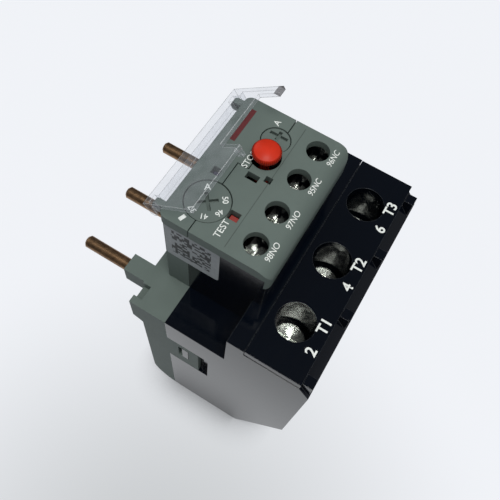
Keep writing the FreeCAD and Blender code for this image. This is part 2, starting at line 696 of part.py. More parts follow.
def make_end_housing():
    """Grey pin-side housing with sleeves, guide grooves, rounded heel and two latch arms."""
    body = new_body("end_housing")
    band_under = S.shoulder_depth - S.band_height
    band_plane = S.end_plane + S.band_step
    behind = S.end_plane - S.heel_radius - 2
    outline = [
        (behind, 0),
        (S.end_plane, 0),
        (S.end_plane, band_under - S.band_slope),
        (band_plane, band_under),
        (band_plane, S.shoulder_depth),
        (behind, S.shoulder_depth),
    ]
    shell = pad(body, "end_shell", "YZ", (-half_case, half_case), polygon(*outline))
    round_heel(body, "end_heel", shell)
    pocket(body, "end_joint", "XZ", (behind - 1, S.joint_line),
           rectangle(-half_case - 1, half_case + 1, -1, S.shoulder_depth + 1))
    pocket(body, "end_room", "YZ", (-half_case + S.end_wall * 2, half_case - S.end_wall * 2),
           polygon((S.joint_line - 1, S.heel_radius / 2), (S.end_plane - S.end_wall * 2, S.heel_radius),
                   (S.end_plane - S.end_wall * 2, heater_room_top), (S.joint_line - 1, heater_room_top)))

    first = pin_x(-1)
    half_sleeve = S.sleeve_width / 2
    sleeves = pad(body, "sleeves", "XZ", (S.end_plane, S.sleeve_tip),
                  rectangle(first - half_sleeve, first + half_sleeve,
                            pin_level - S.pin_drop, S.shoulder_depth))
    row_of(body, sleeves, "sleeve_row", S.pole_pitch, len(POLES))
    groove = first - S.groove_offset
    grooves = pocket(body, "grooves", "XY", (S.shoulder_depth - S.groove_drop, S.shoulder_depth + 1),
                     rectangle(groove - S.groove_width / 2, groove + S.groove_width / 2,
                               band_plane - S.groove_depth, band_plane + 1))
    row_of(body, grooves, "groove_row", S.pole_pitch, len(POLES))
    bores = pocket(body, "pin_bores", "XZ", (S.joint_line, S.sleeve_tip + 1),
                   circle(first, pin_level, S.shank_radius + S.pin_ease))
    row_of(body, bores, "pin_bore_row", S.pole_pitch, len(POLES))

    for side, name in ((-1, "left"), (1, "right")):
        outer = half_case * side
        inner = outer - (S.latch_depth - S.latch_ease) * side
        low, high = (outer, inner) if side < 0 else (inner, outer)
        pad(body, name + "_arm", "YZ", (low, high),
            rectangle(S.latch_tip, S.joint_line + 1,
                      S.latch_low + S.latch_ease, S.latch_high - S.latch_ease))
        eye = S.latch_tip + S.latch_rail
        body.Tip = pocket(body, name + "_eye", "YZ", (low - 1, high + 1),
                          rectangle(eye, eye + S.catch_length + S.latch_slit + S.latch_ease,
                                    S.latch_low + S.latch_border, S.latch_high - S.latch_border / 2))
    hand_over(body, "end_housing")


# ---------------------------------------------------------------- terminals and current path

def make_clamp(k, number):
    """One screw and one box clamp of a main terminal."""
    x = pole_x(k)
    y = -S.terminal_axis
    head_low = well_floor + S.fit_gap
    head_top = head_low + S.screw_head_height
    tip = tongue_top + S.fit_gap
    tag = "_%d" % number
    head = rod("clamp_head" + tag, "z", S.screw_head_radius, (x, y, head_low), S.screw_head_height)
    shank = rod("clamp_shank" + tag, "z", S.screw_radius, (x, y, tip), head_top - S.slot_depth - tip)
    slot = block("clamp_slot" + tag, (x - S.screw_slot / 2, x + S.screw_slot / 2),
                 (y - S.screw_head_radius - 1, y + S.screw_head_radius + 1),
                 (head_top - S.slot_depth, head_top + 1))
    hand_over(cut("clamp_screw" + tag, fuse("clamp_screw_solid" + tag, [head, shank]), slot),
              "terminal_screw" + tag)

    top_low = tip + S.fit_gap
    window_low = top_low - S.tongue_thick - S.wire_room - S.fit_gap * 2
    half_w = S.cage_width / 2
    half_l = S.cage_length / 2
    frame = block("cage_frame" + tag, (x - half_w, x + half_w), (y - half_l, y + half_l),
                  (window_low - S.cage_bottom, top_low + S.cage_top))
    window = block("cage_window" + tag, (x - half_w + S.cage_wall, x + half_w - S.cage_wall),
                   (y - half_l - 1, y + half_l + 1), (window_low, top_low))
    thread = rod("cage_thread" + tag, "z", S.screw_radius + S.thread_ease, (x, y, top_low - 1),
                 S.cage_top + 2)
    hand_over(cut("cage" + tag, frame, fuse("cage_openings" + tag, [window, thread])),
              "clamp_cage" + tag)


def make_line_pin(k, number):
    """Copper pin with its thinner shank, heater lead and contact tongue of one pole."""
    tag = "_%d" % number
    x = pin_x(k)
    pole = pole_x(k)
    body = new_body("pin_body" + tag)
    pad(body, "pin_shank" + tag, "XZ", (pin_tail, S.pin_tip - S.pin_chamfer * 2),
        circle(x, pin_level, S.shank_radius))
    outside = pad(body, "pin_outside" + tag, "XZ", (pin_start, S.pin_tip),
                  circle(x, pin_level, S.pin_radius))
    bevel_rim(body, "Chamfer", "pin_tip" + tag, outside, S.pin_chamfer, "y", S.pin_tip)
    hand_over(body, "line_pin" + tag)

    half = S.tongue_width / 2
    tongue = block("tongue" + tag, (pole - half, pole + half),
                   (-S.terminal_axis - S.cage_length / 2, pin_tail), (tongue_level, tongue_top))
    riser = block("tongue_riser" + tag, (x - half / 2, x + half / 2),
                  (pin_tail - S.tongue_thick, pin_tail), (tongue_level, pin_level))
    hand_over(fuse("busbar" + tag, [tongue, riser]), "busbar" + tag)


# ---------------------------------------------------------------- control module

def make_control_housing():
    """Black core of the control module: auxiliary chambers, guide bosses, mechanism room."""
    body = new_body("control_housing")
    floor_top = S.shoulder_depth + S.module_floor
    core_top = face_under - S.fit_gap
    step = apron_under - S.fit_gap
    outline = [
        (-S.module_foot, S.shoulder_depth),
        (-S.module_foot, overhang),
        (-module_front, overhang),
        (-module_front, step),
        (S.apron_thick + S.fit_gap - S.module_front, step),
        (S.apron_thick + S.fit_gap - S.module_front, core_top),
        (S.joint_line, core_top),
        (S.joint_line, S.shoulder_depth),
    ]
    pad(body, "core", "YZ", (-module_left, module_right), polygon(*outline))
    inner = S.skirt_thick + S.fit_gap
    pad(body, "core_back", "XY", (S.shoulder_depth, core_top),
        rectangle(inner - module_left, module_right - inner, S.joint_line - 1, module_pin_side - inner))

    wall = inner + S.module_wall
    pocket(body, "room", "XY", (floor_top, core_top + 1),
           rectangle(wall - module_left, module_right - wall, room_front, module_pin_side - wall))
    half_w = S.aux_room_width / 2
    half_l = S.aux_room_length / 2
    for k in range(AUX_COUNT):
        pocket(body, "aux_room_%d" % (k + 1), "XY", (aux_room_floor, core_top + 1),
               rectangle(aux_x(k) - half_w, aux_x(k) + half_w,
                         S.aux_axis - half_l, S.aux_axis + half_l))
        entry_low = aux_room_floor + S.aux_contact_thick
        pocket(body, "aux_entry_%d" % (k + 1), "XZ", (-S.module_front - 1, S.aux_axis),
               rectangle(aux_x(k) - S.aux_entry_width / 2, aux_x(k) + S.aux_entry_width / 2,
                         entry_low, entry_low + S.aux_entry_height))

    for name, x, y, radius in (("dial", S.dial_x, S.dial_y, S.hub_radius),
                               ("stop", S.stop_x, S.stop_y, S.stem_radius),
                               ("knob", S.knob_x, S.knob_y, S.stem_radius)):
        bore = radius + S.bore_ease
        pad(body, name + "_boss", "XY", (floor_top - 1, boss_top), circle(x, y, bore + S.boss_wall))
        pocket(body, name + "_bore", "XY", (floor_top, boss_top + 1), circle(x, y, bore))
    half_w = S.test_width / 2 + S.control_gap
    half_l = S.test_length / 2 + S.control_gap
    guide_high = module_top - S.test_guide_sink
    guide_low = guide_high - S.test_guide_height
    pad(body, "test_boss", "XY", (guide_low, guide_high),
        rectangle(S.test_x - half_w - S.boss_wall, S.test_x + half_w + S.boss_wall,
                  room_front - 1, S.test_y + half_l + S.boss_wall))
    pocket(body, "test_guide", "XY", (guide_low - 1, guide_high + 1),
           rectangle(S.test_x - half_w, S.test_x + half_w, S.test_y - half_l, S.test_y + half_l))

    for number, (x, y, radius) in enumerate(CONTROLS, start=1):
        pocket(body, "control_seat_%d" % number, "XY", (core_top - S.seat_depth, core_top + 1),
               circle(x, y, radius + S.control_gap))

    pocket(body, "peg_slot", "XY", (S.shoulder_depth - 1, floor_top + 1), peg_room())
    half_pin = S.lever_hub + S.boss_wall / 2
    pad(body, "lever_post", "XZ", (lever_back + S.lever_gap, lever_back + S.lever_gap + S.module_wall),
        rectangle(S.lever_x - half_pin, S.lever_x + half_pin, floor_top - 1, lever_z + half_pin))
    pocket(body, "lever_bore", "XZ",
           (room_front - S.module_wall, lever_back + S.lever_gap + S.module_wall + 1),
           circle(S.lever_x, lever_z, S.lever_pin_radius + S.pin_ease))
    shelf_top = flag_low - S.fit_gap
    half_flag = S.flag_width / 2 + S.fit_gap * 2
    body.Tip = pad(body, "flag_shelf", "XY", (shelf_top - S.flag_shelf_thick, shelf_top),
                   rectangle(S.window_x - half_flag - S.flag_travel, S.window_x + half_flag,
                             S.flag_peg_y + S.flag_peg / 2 + S.lever_gap, module_pin_side - inner))
    hand_over(body, "control_housing")


CONTROLS = ((S.dial_x, S.dial_y, S.dial_radius), (S.stop_x, S.stop_y, S.stop_radius),
            (S.knob_x, S.knob_y, S.knob_radius))


def cut_control_openings(body, tag):
    """Openings for dial, stop button and reset knob, shared by both covers along the seam."""
    for number, (x, y, radius) in enumerate(CONTROLS, start=1):
        pocket(body, "control_hole_%s_%d" % (tag, number), "XY", (lip_under - 1, module_top + 1),
               circle(x, y, radius + S.control_gap))


def make_upper_cover():
    """Grey cover of the pin side: face, lip, full-depth skirt and hinge lugs."""
    body = new_body("front_cover_upper")
    pad(body, "upper_skirt", "XY", (S.shoulder_depth, lip_under),
        rectangle(-module_left, module_right, S.joint_line + S.fit_gap, module_pin_side))
    pad(body, "upper_face", "XY", (lip_under, module_top),
        polygon((-S.module_left, S.seam_high), (S.seam_step, S.seam_high), (S.seam_step, S.seam_middle),
                (S.stop_x, S.seam_middle), (S.stop_x, S.seam_low), (S.module_right, S.seam_low),
                (S.module_right, S.module_pin_side, S.corner_round),
                (-S.module_left, S.module_pin_side, S.corner_round)))
    inner = S.skirt_thick
    pocket(body, "upper_room", "XY", (S.shoulder_depth - 1, face_under),
           polygon((inner - module_left, S.joint_line - 1), (inner - module_left, module_pin_side - inner),
                   (module_right - inner, module_pin_side - inner), (module_right - inner, S.joint_line - 1)))
    pocket(body, "upper_rebate", "XY", (lip_under - 1, face_under),
           rectangle(-module_left - S.fit_gap / 2, module_right + S.fit_gap / 2,
                     S.seam_low - 1, S.joint_line + S.fit_gap))
    lug_back = lid_axis_y
    for name, low in (("left", -S.module_left + S.lid_inset + S.ear_thick + S.fit_gap),
                      ("right", S.module_right - S.lid_inset - S.ear_thick - S.fit_gap - S.lug_thick)):
        span = (low, low + S.lug_thick)
        pad(body, name + "_lug", "YZ", span,
            rectangle(module_pin_side - 1, lug_back, lid_axis_z - S.lug_radius, lid_axis_z + S.lug_radius))
        pad(body, name + "_lug_end", "YZ", span, circle(lug_back, lid_axis_z, S.lug_radius))
        pocket(body, name + "_lug_bore", "YZ", (low - 0.5, low + S.lug_thick + 0.5),
               circle(lug_back, lid_axis_z, S.pivot_radius + S.bore_ease))
    cut_control_openings(body, "upper")
    through = (lip_under - 1, module_top + 1)
    side = S.window_side / 2
    body.Tip = pocket(body, "trip_window", "XY", through,
                      rectangle(S.window_x - side, S.window_x + side, S.window_y - side, S.window_y + side))
    hand_over(body, "front_cover_upper")


def make_lower_cover():
    """Grey cover of the terminal side: face with rounded edge, lip, apron and four screw holes."""
    body = new_body("front_cover_lower")
    gap = S.seam_gap
    front = -S.module_front
    seam = S.seam_high - gap
    pad(body, "lower_face", "YZ", (-S.module_left, S.module_right),
        polygon((front, apron_under), (front, module_top, S.face_round), (seam, module_top),
                (seam, lip_under), (front + S.apron_thick, lip_under), (front + S.apron_thick, apron_under)))
    pocket(body, "lower_step", "XY", (lip_under - 1, module_top + 1),
           polygon((S.seam_step - gap, S.seam_middle - gap), (S.stop_x, S.seam_middle - gap),
                   (S.stop_x, S.seam_low - gap), (S.module_right + 1, S.seam_low - gap),
                   (S.module_right + 1, S.seam_high + 1), (S.seam_step - gap, S.seam_high + 1)))
    pocket(body, "lower_corners", "XY", (apron_under - 1, module_top + 1),
           rectangle(-S.module_left - 2, S.module_right + 2, front - 2, S.seam_high + 2),
           polygon((-S.module_left, front, S.corner_round), (S.module_right, front, S.corner_round),
                   (S.module_right, S.seam_high + 1), (-S.module_left, S.seam_high + 1)))
    pocket(body, "lower_room", "XY", (lip_under - 1, face_under),
           rectangle(-module_left - S.fit_gap / 2, module_right + S.fit_gap / 2,
                     S.apron_thick - S.module_front, S.seam_high + 1))
    through = (lip_under - 1, module_top + 1)
    for k in range(AUX_COUNT):
        pocket(body, "aux_hole_%d" % (k + 1), "XY", through, circle(aux_x(k), S.aux_axis, S.aux_hole_radius))
    cut_control_openings(body, "lower")
    for name, x, y, width, length in (
            ("test_window", S.test_x, S.test_y, S.test_width + S.control_gap * 2,
             S.test_length + S.control_gap * 2),
            ("latch_pocket", S.latch_pocket_x, S.latch_pocket_y, S.latch_pocket_width, S.latch_pocket_length),
            ("peg_hole", S.peg_hole_x, S.peg_hole_y, S.peg_hole_side, S.peg_hole_side)):
        body.Tip = pocket(body, name, "XY", through,
                          rectangle(x - width / 2, x + width / 2, y - length / 2, y + length / 2))
    hand_over(body, "front_cover_lower")


def make_aux_terminals():
    """Screw, pressure saddle and contact strip of each auxiliary terminal."""
    head_top = module_top - S.aux_head_sink
    head_low = head_top - S.aux_head_height
    saddle_low = head_low - S.aux_saddle_thick
    for k in range(AUX_COUNT):
        x = aux_x(k)
        y = S.aux_axis
        tag = "_%d" % (k + 1)
        strip_top = aux_room_floor + S.aux_contact_thick
        head = rod("aux_head" + tag, "z", S.aux_head_radius, (x, y, head_low), S.aux_head_height)
        shank = rod("aux_shank" + tag, "z", S.aux_screw_radius, (x, y, strip_top + S.fit_gap),
                    head_low - strip_top)
        span = (head_top - S.slot_depth, head_top + 1)
        arm = S.aux_head_radius + 1
        half = S.aux_slot / 2
        slots = [block("aux_slot_a" + tag, (x - half, x + half), (y - arm, y + arm), span),
                 block("aux_slot_b" + tag, (x - arm, x + arm), (y - half, y + half), span)]
        hand_over(cut("aux_screw_cut" + tag, fuse("aux_screw_solid" + tag, [head, shank]),
                      fuse("aux_slots" + tag, slots)), "aux_screw" + tag)
        half = S.aux_saddle_width / 2
        plate = block("saddle_plate" + tag, (x - half, x + half), (y - half, y + half),
                      (saddle_low - S.aux_saddle_gap, head_low - S.aux_saddle_gap))
        hole = rod("saddle_hole" + tag, "z", S.aux_screw_radius + S.thread_ease,
                   (x, y, saddle_low - 1), S.aux_saddle_thick + 2)
        hand_over(cut("saddle_cut" + tag, plate, hole), "aux_saddle" + tag)
        half = S.aux_room_width / 2 - S.fit_gap
        length = S.aux_room_length / 2 - S.fit_gap
        hand_over(block("aux_strip" + tag, (x - half, x + half), (y - length, y + length),
                        (aux_room_floor, strip_top)), "aux_contact" + tag)


def make_dial():
    """Current setting dial: disc, hub and cross slot."""
    body = new_body("setting_dial")
    top = module_top - S.dial_sink
    low = top - S.dial_disc
    pad(body, "disc", "XY", (low, top), circle(S.dial_x, S.dial_y, S.dial_radius))
    pad(body, "hub", "XY", (stem_foot, low), circle(S.dial_x, S.dial_y, S.hub_radius))
    arm = S.dial_slot / 2
    slot = S.dial_slot_width / 2
    along, across = cosine(S.dial_slot_turn), sine(S.dial_slot_turn)
    for name, half_u, half_v in (("slot_long", arm, slot), ("slot_cross", slot, arm)):
        corners = [(half_u * a, half_v * b) for a, b in ((-1, -1), (1, -1), (1, 1), (-1, 1))]
        body.Tip = pocket(body, name, "XY", (top - S.dial_slot_depth, top + 1), polygon(*[
            (S.dial_x + u * along - v * across, S.dial_y + u * across + v * along) for u, v in corners]))
    hand_over(body, "setting_dial")


def make_stop_button():
    """Red mushroom button: rounded cap over a thin stem with a spring collar."""
    body = new_body("stop_button")
    top = module_top + S.stop_rise
    cap = pad(body, "cap", "XY", (module_top + S.stop_travel + S.control_gap, top),
              circle(S.stop_x, S.stop_y, S.stop_radius))
    bevel_rim(body, "Chamfer", "cap_edge", cap, S.stop_edge, "z", top)
    pad(body, "stem", "XY", (stem_foot, top - S.stop_edge),
        circle(S.stop_x, S.stop_y, S.stem_radius))
    body.Tip = pad(body, "stop_collar", "XY", (collar_low, collar_top),
                   circle(S.stop_x, S.stop_y, S.collar_radius))
    hand_over(body, "stop_button")


def make_reset():
    """Reset stem with collar, and the mode knob that turns on it."""
    x, y = S.knob_x, S.knob_y
    top = module_top - S.dial_sink
    stem_top = module_top - S.knob_stem_sink
    stem = rod("reset_shaft", "z", S.stem_radius, (x, y, stem_foot), stem_top - stem_foot)
    collar = rod("reset_collar", "z", S.collar_radius, (x, y, collar_low), S.collar_thick)
    hand_over(fuse("reset_stem", [stem, collar]), "reset_stem")

    hub_low = collar_top + S.fit_gap
    disc = rod("knob_disc_rod", "z", S.knob_radius, (x, y, top - S.knob_disc), S.knob_disc)
    hub = rod("knob_hub", "z", S.collar_radius, (x, y, hub_low), top - S.knob_disc / 2 - hub_low)
    bore = rod("knob_bore", "z", S.stem_radius + S.pin_ease, (x, y, hub_low - 1),
               stem_top + S.fit_gap - hub_low + 1)
    middle = x + S.knob_slot_shift
    slots = []
    for name, along_x, along_y in (("knob_slot", S.knob_slot_width, S.knob_slot_length),
                                   ("knob_cross", S.knob_slot_cross, S.knob_slot_width)):
        slots.append(block(name, (middle - along_x / 2, middle + along_x / 2),
                           (y - along_y / 2, y + along_y / 2), (top - S.knob_slot_depth, top + 1)))
    hand_over(cut("knob", fuse("knob_solid", [disc, hub]), fuse("knob_openings", [bore] + slots)),
              "reset_knob")


def make_spring(name, x, y):
    """Compression spring of square wire between a guide boss and a collar."""
    body = new_body(name)
    low = boss_top + S.thread_ease
    inside = S.spring_radius - S.spring_wire / 2
    wire = new_sketch(body, name + "_wire", "XZ", y)
    bind(wire, "AttachmentOffset.Base.x", x)
    add_rectangle(wire, inside, inside + S.spring_wire, low, low + S.spring_wire)
    coil = body.newObject("PartDesign::AdditiveHelix", name + "_coil")
    coil.Profile = wire
    coil.ReferenceAxis = (wire, ["V_Axis"])
    coil.Mode = "height-turns-angle"
    bind(coil, "Height", collar_low - S.thread_ease - low - S.spring_wire)
    coil.Turns = SPRING_TURNS
    wire.Visibility = False
    body.Tip = coil
    hand_over(body, name)


def make_test_plunger():
    """Small plunger behind the test window."""
    half_w = S.test_width / 2
    half_l = S.test_length / 2
    hand_over(block("test_block", (S.test_x - half_w, S.test_x + half_w),
                    (S.test_y - half_l, S.test_y + half_l),
                    (test_foot, module_top - S.test_sink)), "test_plunger")


# ---------------------------------------------------------------- trip mechanism

def make_bimetals():
    """Bimetal strip of each pole on its foot, wound with heater turns."""
    for number, k in enumerate(POLES, start=1):
        tag = "_%d" % number
        x = pole_x(k) - S.strip_offset
        body = new_body("bimetal" + tag)
        half_t = S.strip_thick / 2
        half_w = S.strip_width / 2
        pad(body, "strip" + tag, "XY", (S.heater_floor, S.shoulder_depth - S.strip_drop),
            rectangle(x - half_t, x + half_t, S.strip_y - half_w, S.strip_y + half_w))
        half_f = S.strip_foot / 2
        pad(body, "strip_foot" + tag, "XY", (S.heater_floor, S.heater_floor + S.strip_foot_height),
            rectangle(x - half_f, x + half_f, S.strip_y - half_w, S.strip_y + half_w))
        turn = pad(body, "heater_turn" + tag, "YZ",
                   (x - half_t - S.winding_out, x + half_t + S.winding_out),
                   rectangle(S.strip_y - half_w - S.winding_out, S.strip_y + half_w + S.winding_out,
                             S.winding_low, S.winding_low + S.winding_turn))
        turns = body.newObject("PartDesign::LinearPattern", "heater_turns" + tag)
        turns.Originals = [turn]
        turns.Direction = (turn.Profile[0], ["V_Axis"])
        turns.Occurrences = HEATER_TURNS
        bind(turns, "Length", S.winding_pitch * (HEATER_TURNS - 1))
        body.Tip = turns
        hand_over(body, "bimetal" + tag)


def make_trip_slide():
    """Bar that the bimetals push along X, with three fingers and the peg to the lever."""
    half = S.slide_width / 2
    finger = S.strip_thick / 2 + S.finger_gap
    start = pole_x(-1) - S.strip_offset + finger
    end = pole_x(1) - S.strip_offset + finger + S.peg_width
    pieces = [block("slide_bar", (start, end), (S.slide_y - half, S.slide_y + half),
                    (slide_low, slide_low + S.slide_height))]
    for number, k in enumerate(POLES, start=1):
        x = pole_x(k) - S.strip_offset + finger
        pieces.append(block("slide_finger_%d" % number, (x, x + S.peg_width),
                            (S.slide_y - half - S.finger_length, S.slide_y),
                            (slide_low, slide_low + S.slide_height)))
    pieces.append(block("slide_peg", (S.peg_x - S.peg_width / 2, S.peg_x + S.peg_width / 2),
                        (S.slide_y - half, S.slide_y + half), (slide_low, S.shoulder_depth + S.peg_rise)))
    hand_over(fuse("slide_solid", pieces), "trip_slide")


def make_trip_lever():
    """Three-armed lever on its pivot pin: peg arm, test arm and flag arm."""
    body = new_body("trip_lever")
    span = (lever_front, lever_back)
    pad(body, "lever_hub_pad", "XZ", span, circle(S.lever_x, lever_z, S.lever_hub))
    peg_arm = S.peg_x + S.peg_width / 2 + S.lever_gap
    pad(body, "peg_arm", "XZ", span,
        rectangle(peg_arm, peg_arm + S.lever_arm, lever_z - S.lever_drop, lever_z))
    test_top = test_foot - S.lever_gap
    pad(body, "test_arm", "XZ", span,
        rectangle(S.test_x - S.test_width / 2, S.lever_x, test_top - S.lever_arm, test_top))
    flag_arm = S.window_x + S.flag_peg / 2 + S.lever_gap
    pad(body, "flag_arm", "XZ", span,
        rectangle(flag_arm, flag_arm + S.lever_arm, lever_z, lever_high))
    pad(body, "flag_bar", "XZ", (S.slide_y, S.flag_peg_y + S.flag_peg / 2),
        rectangle(flag_arm, flag_arm + S.lever_arm, lever_high - S.lever_arm, lever_high))
    body.Tip = pocket(body, "lever_eye", "XZ", (lever_front - 1, lever_back + 1),
                      circle(S.lever_x, lever_z, S.lever_pin_radius + S.pin_ease))
    hand_over(body, "trip_lever")
    start = room_front - S.module_wall + S.fit_gap
    hand_over(rod("lever_pin_rod", "y", S.lever_pin_radius, (S.lever_x, start, lever_z),
                  lever_back + S.lever_gap + S.module_wall - start), "lever_pin")


def make_trip_flag():
    """Flag behind the trip window, on its shelf, with the peg that the lever pushes."""
    half = S.flag_width / 2
    peg_half = S.flag_peg / 2
    plate = block("flag_plate", (S.window_x - half, S.window_x + half),
                  (S.flag_peg_y - peg_half, S.window_y + S.window_side / 2),
                  (flag_low, flag_low + S.flag_thick))
    peg = block("flag_peg_block", (S.window_x - peg_half, S.window_x + peg_half),
                (S.flag_peg_y - peg_half, S.flag_peg_y + peg_half),
                (lever_high - S.lever_arm - S.flag_peg_lap, flag_low + S.flag_thick / 2))
    hand_over(fuse("flag_solid", [plate, peg]), "trip_flag")


def make_lid():
    """Clear flip lid, drawn closed about its hinge axis and turned open."""
    body = new_body("flip_lid")
    lift = module_top + S.lid_lift - lid_axis_z
    left = S.lid_inset - S.module_left
    right = S.module_right - S.lid_inset
    pad(body, "lid_plate", "XY", (lift, lift + S.lid_thick),
        polygon((left, S.lid_tail), (left, -S.lid_reach), (S.lid_notch_left, -S.lid_reach),
                (S.lid_notch_left, -S.lid_notch), (S.lid_notch_right, -S.lid_notch),
                (S.lid_notch_right, -S.lid_arm), (right, -S.lid_arm), (right, S.lid_tail)))
    lug_room = S.ear_thick + S.lug_thick + S.fit_gap * 3
    pad(body, "hinge_rail", "YZ", (left + lug_room, right - lug_room),
        rectangle(-S.rail_inside, S.lid_tail, -S.rail_drop, lift + S.lid_thick / 2))
    pad(body, "lid_hook", "XY", (lift - S.hook_drop, lift + S.lid_thick / 2),
        rectangle(S.hook_left, S.lid_notch_left, -S.hook_far, -S.hook_near))
    for name, low, out in (("left", left, 1), ("right", right - S.ear_thick, -1)):
        span = (low, low + S.ear_thick)
        pad(body, name + "_neck", "YZ", span,
            rectangle(-S.ear_radius, S.ear_radius, 0, lift + S.lid_thick / 2))
        pad(body, name + "_ear", "YZ", span, circle(0, 0, S.ear_radius))
        stub_low = low if out > 0 else low - S.pivot_length
        body.Tip = pad(body, name + "_pivot", "YZ", (stub_low, stub_low + S.ear_thick + S.pivot_length),
                       circle(0, 0, S.pivot_radius))
    body.Placement = Placement(Vector(), Rotation(Vector(-1, 0, 0), 1))
    bind(body, "Placement.Base.y", lid_axis_y)
    bind(body, "Placement.Base.z", lid_axis_z)
    bind(body, "Placement.Rotation.Angle", S.lid_open)
    hand_over(body, "flip_lid")


make_main_body()
make_terminal_cover()
make_end_housing()
for number, k in enumerate(POLES, start=1):
    make_clamp(k, number)
    make_line_pin(k, number)
make_control_housing()
make_upper_cover()
make_lower_cover()
make_aux_terminals()
make_dial()
make_stop_button()
make_reset()
make_spring("stop_spring", S.stop_x, S.stop_y)
make_spring("reset_spring", S.knob_x, S.knob_y)
make_test_plunger()
make_bimetals()
make_trip_slide()
make_trip_lever()
make_trip_flag()
make_lid()
doc.recompute()

for obj in doc.Objects:
    if any(flag in obj.State for flag in ("Invalid", "Error")):
        raise RuntimeError("%s (%s) failed: %s" % (obj.Name, obj.Label, obj.State))
for node in nodes:
    if node.Shape.isNull() or not node.Shape.isValid():
        raise RuntimeError("%s has no valid shape" % node.Label)

os.makedirs("parts", exist_ok=True)
for node in nodes:
    node.Shape.exportStep("parts/%s.step" % node.Label)
    box = node.Shape.BoundBox
    print("%-20s solids %d  volume %9.1f  x %7.2f %7.2f  y %7.2f %7.2f  z %7.2f %7.2f" % (
        node.Label, len(node.Shape.Solids), node.Shape.Volume,
        box.XMin, box.XMax, box.YMin, box.YMax, box.ZMin, box.ZMax))
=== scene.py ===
"""Looks of the thermal overload relay: materials, printing, label, springs, floor, light and camera."""
import json
import math
import bmesh
import bpy
from mathutils import Matrix, Vector


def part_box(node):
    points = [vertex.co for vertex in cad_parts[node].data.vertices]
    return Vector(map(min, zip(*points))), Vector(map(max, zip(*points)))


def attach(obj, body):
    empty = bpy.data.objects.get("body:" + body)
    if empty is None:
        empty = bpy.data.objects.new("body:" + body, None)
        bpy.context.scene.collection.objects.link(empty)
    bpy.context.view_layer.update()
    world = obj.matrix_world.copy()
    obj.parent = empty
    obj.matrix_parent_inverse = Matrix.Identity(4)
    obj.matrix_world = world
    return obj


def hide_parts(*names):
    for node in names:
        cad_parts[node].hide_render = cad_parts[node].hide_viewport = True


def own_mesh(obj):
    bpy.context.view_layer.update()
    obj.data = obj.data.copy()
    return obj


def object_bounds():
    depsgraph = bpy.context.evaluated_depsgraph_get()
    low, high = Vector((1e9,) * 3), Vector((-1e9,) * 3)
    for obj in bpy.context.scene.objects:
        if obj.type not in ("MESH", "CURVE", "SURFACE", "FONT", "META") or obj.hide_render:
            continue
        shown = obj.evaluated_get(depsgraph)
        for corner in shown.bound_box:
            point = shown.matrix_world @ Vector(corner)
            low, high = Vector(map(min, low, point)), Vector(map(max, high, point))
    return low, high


MM = 0.001

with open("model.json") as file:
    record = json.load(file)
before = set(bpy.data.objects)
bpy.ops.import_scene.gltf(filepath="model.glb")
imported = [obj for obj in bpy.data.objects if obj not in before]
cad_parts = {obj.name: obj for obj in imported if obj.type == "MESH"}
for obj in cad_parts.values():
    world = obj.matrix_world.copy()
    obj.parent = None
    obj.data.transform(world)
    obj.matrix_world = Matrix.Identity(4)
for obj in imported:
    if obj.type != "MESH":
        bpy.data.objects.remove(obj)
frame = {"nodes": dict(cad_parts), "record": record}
cad_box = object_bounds()
nodes = frame["nodes"]


# ---------------------------------------------------------------- places read from the frame

def low(node):
    return Vector(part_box(node)[0])


def high(node):
    return Vector(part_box(node)[1])


def middle(node):
    return (low(node) + high(node)) / 2


FACE_Z = high("front_cover_lower").z
FACE_LOW_Y = low("front_cover_lower").y
FACE_ROUND = 4.5 * MM
PLATE_Z = high("terminal_cover").z
WALL_X = low("control_housing").x


# ---------------------------------------------------------------- materials

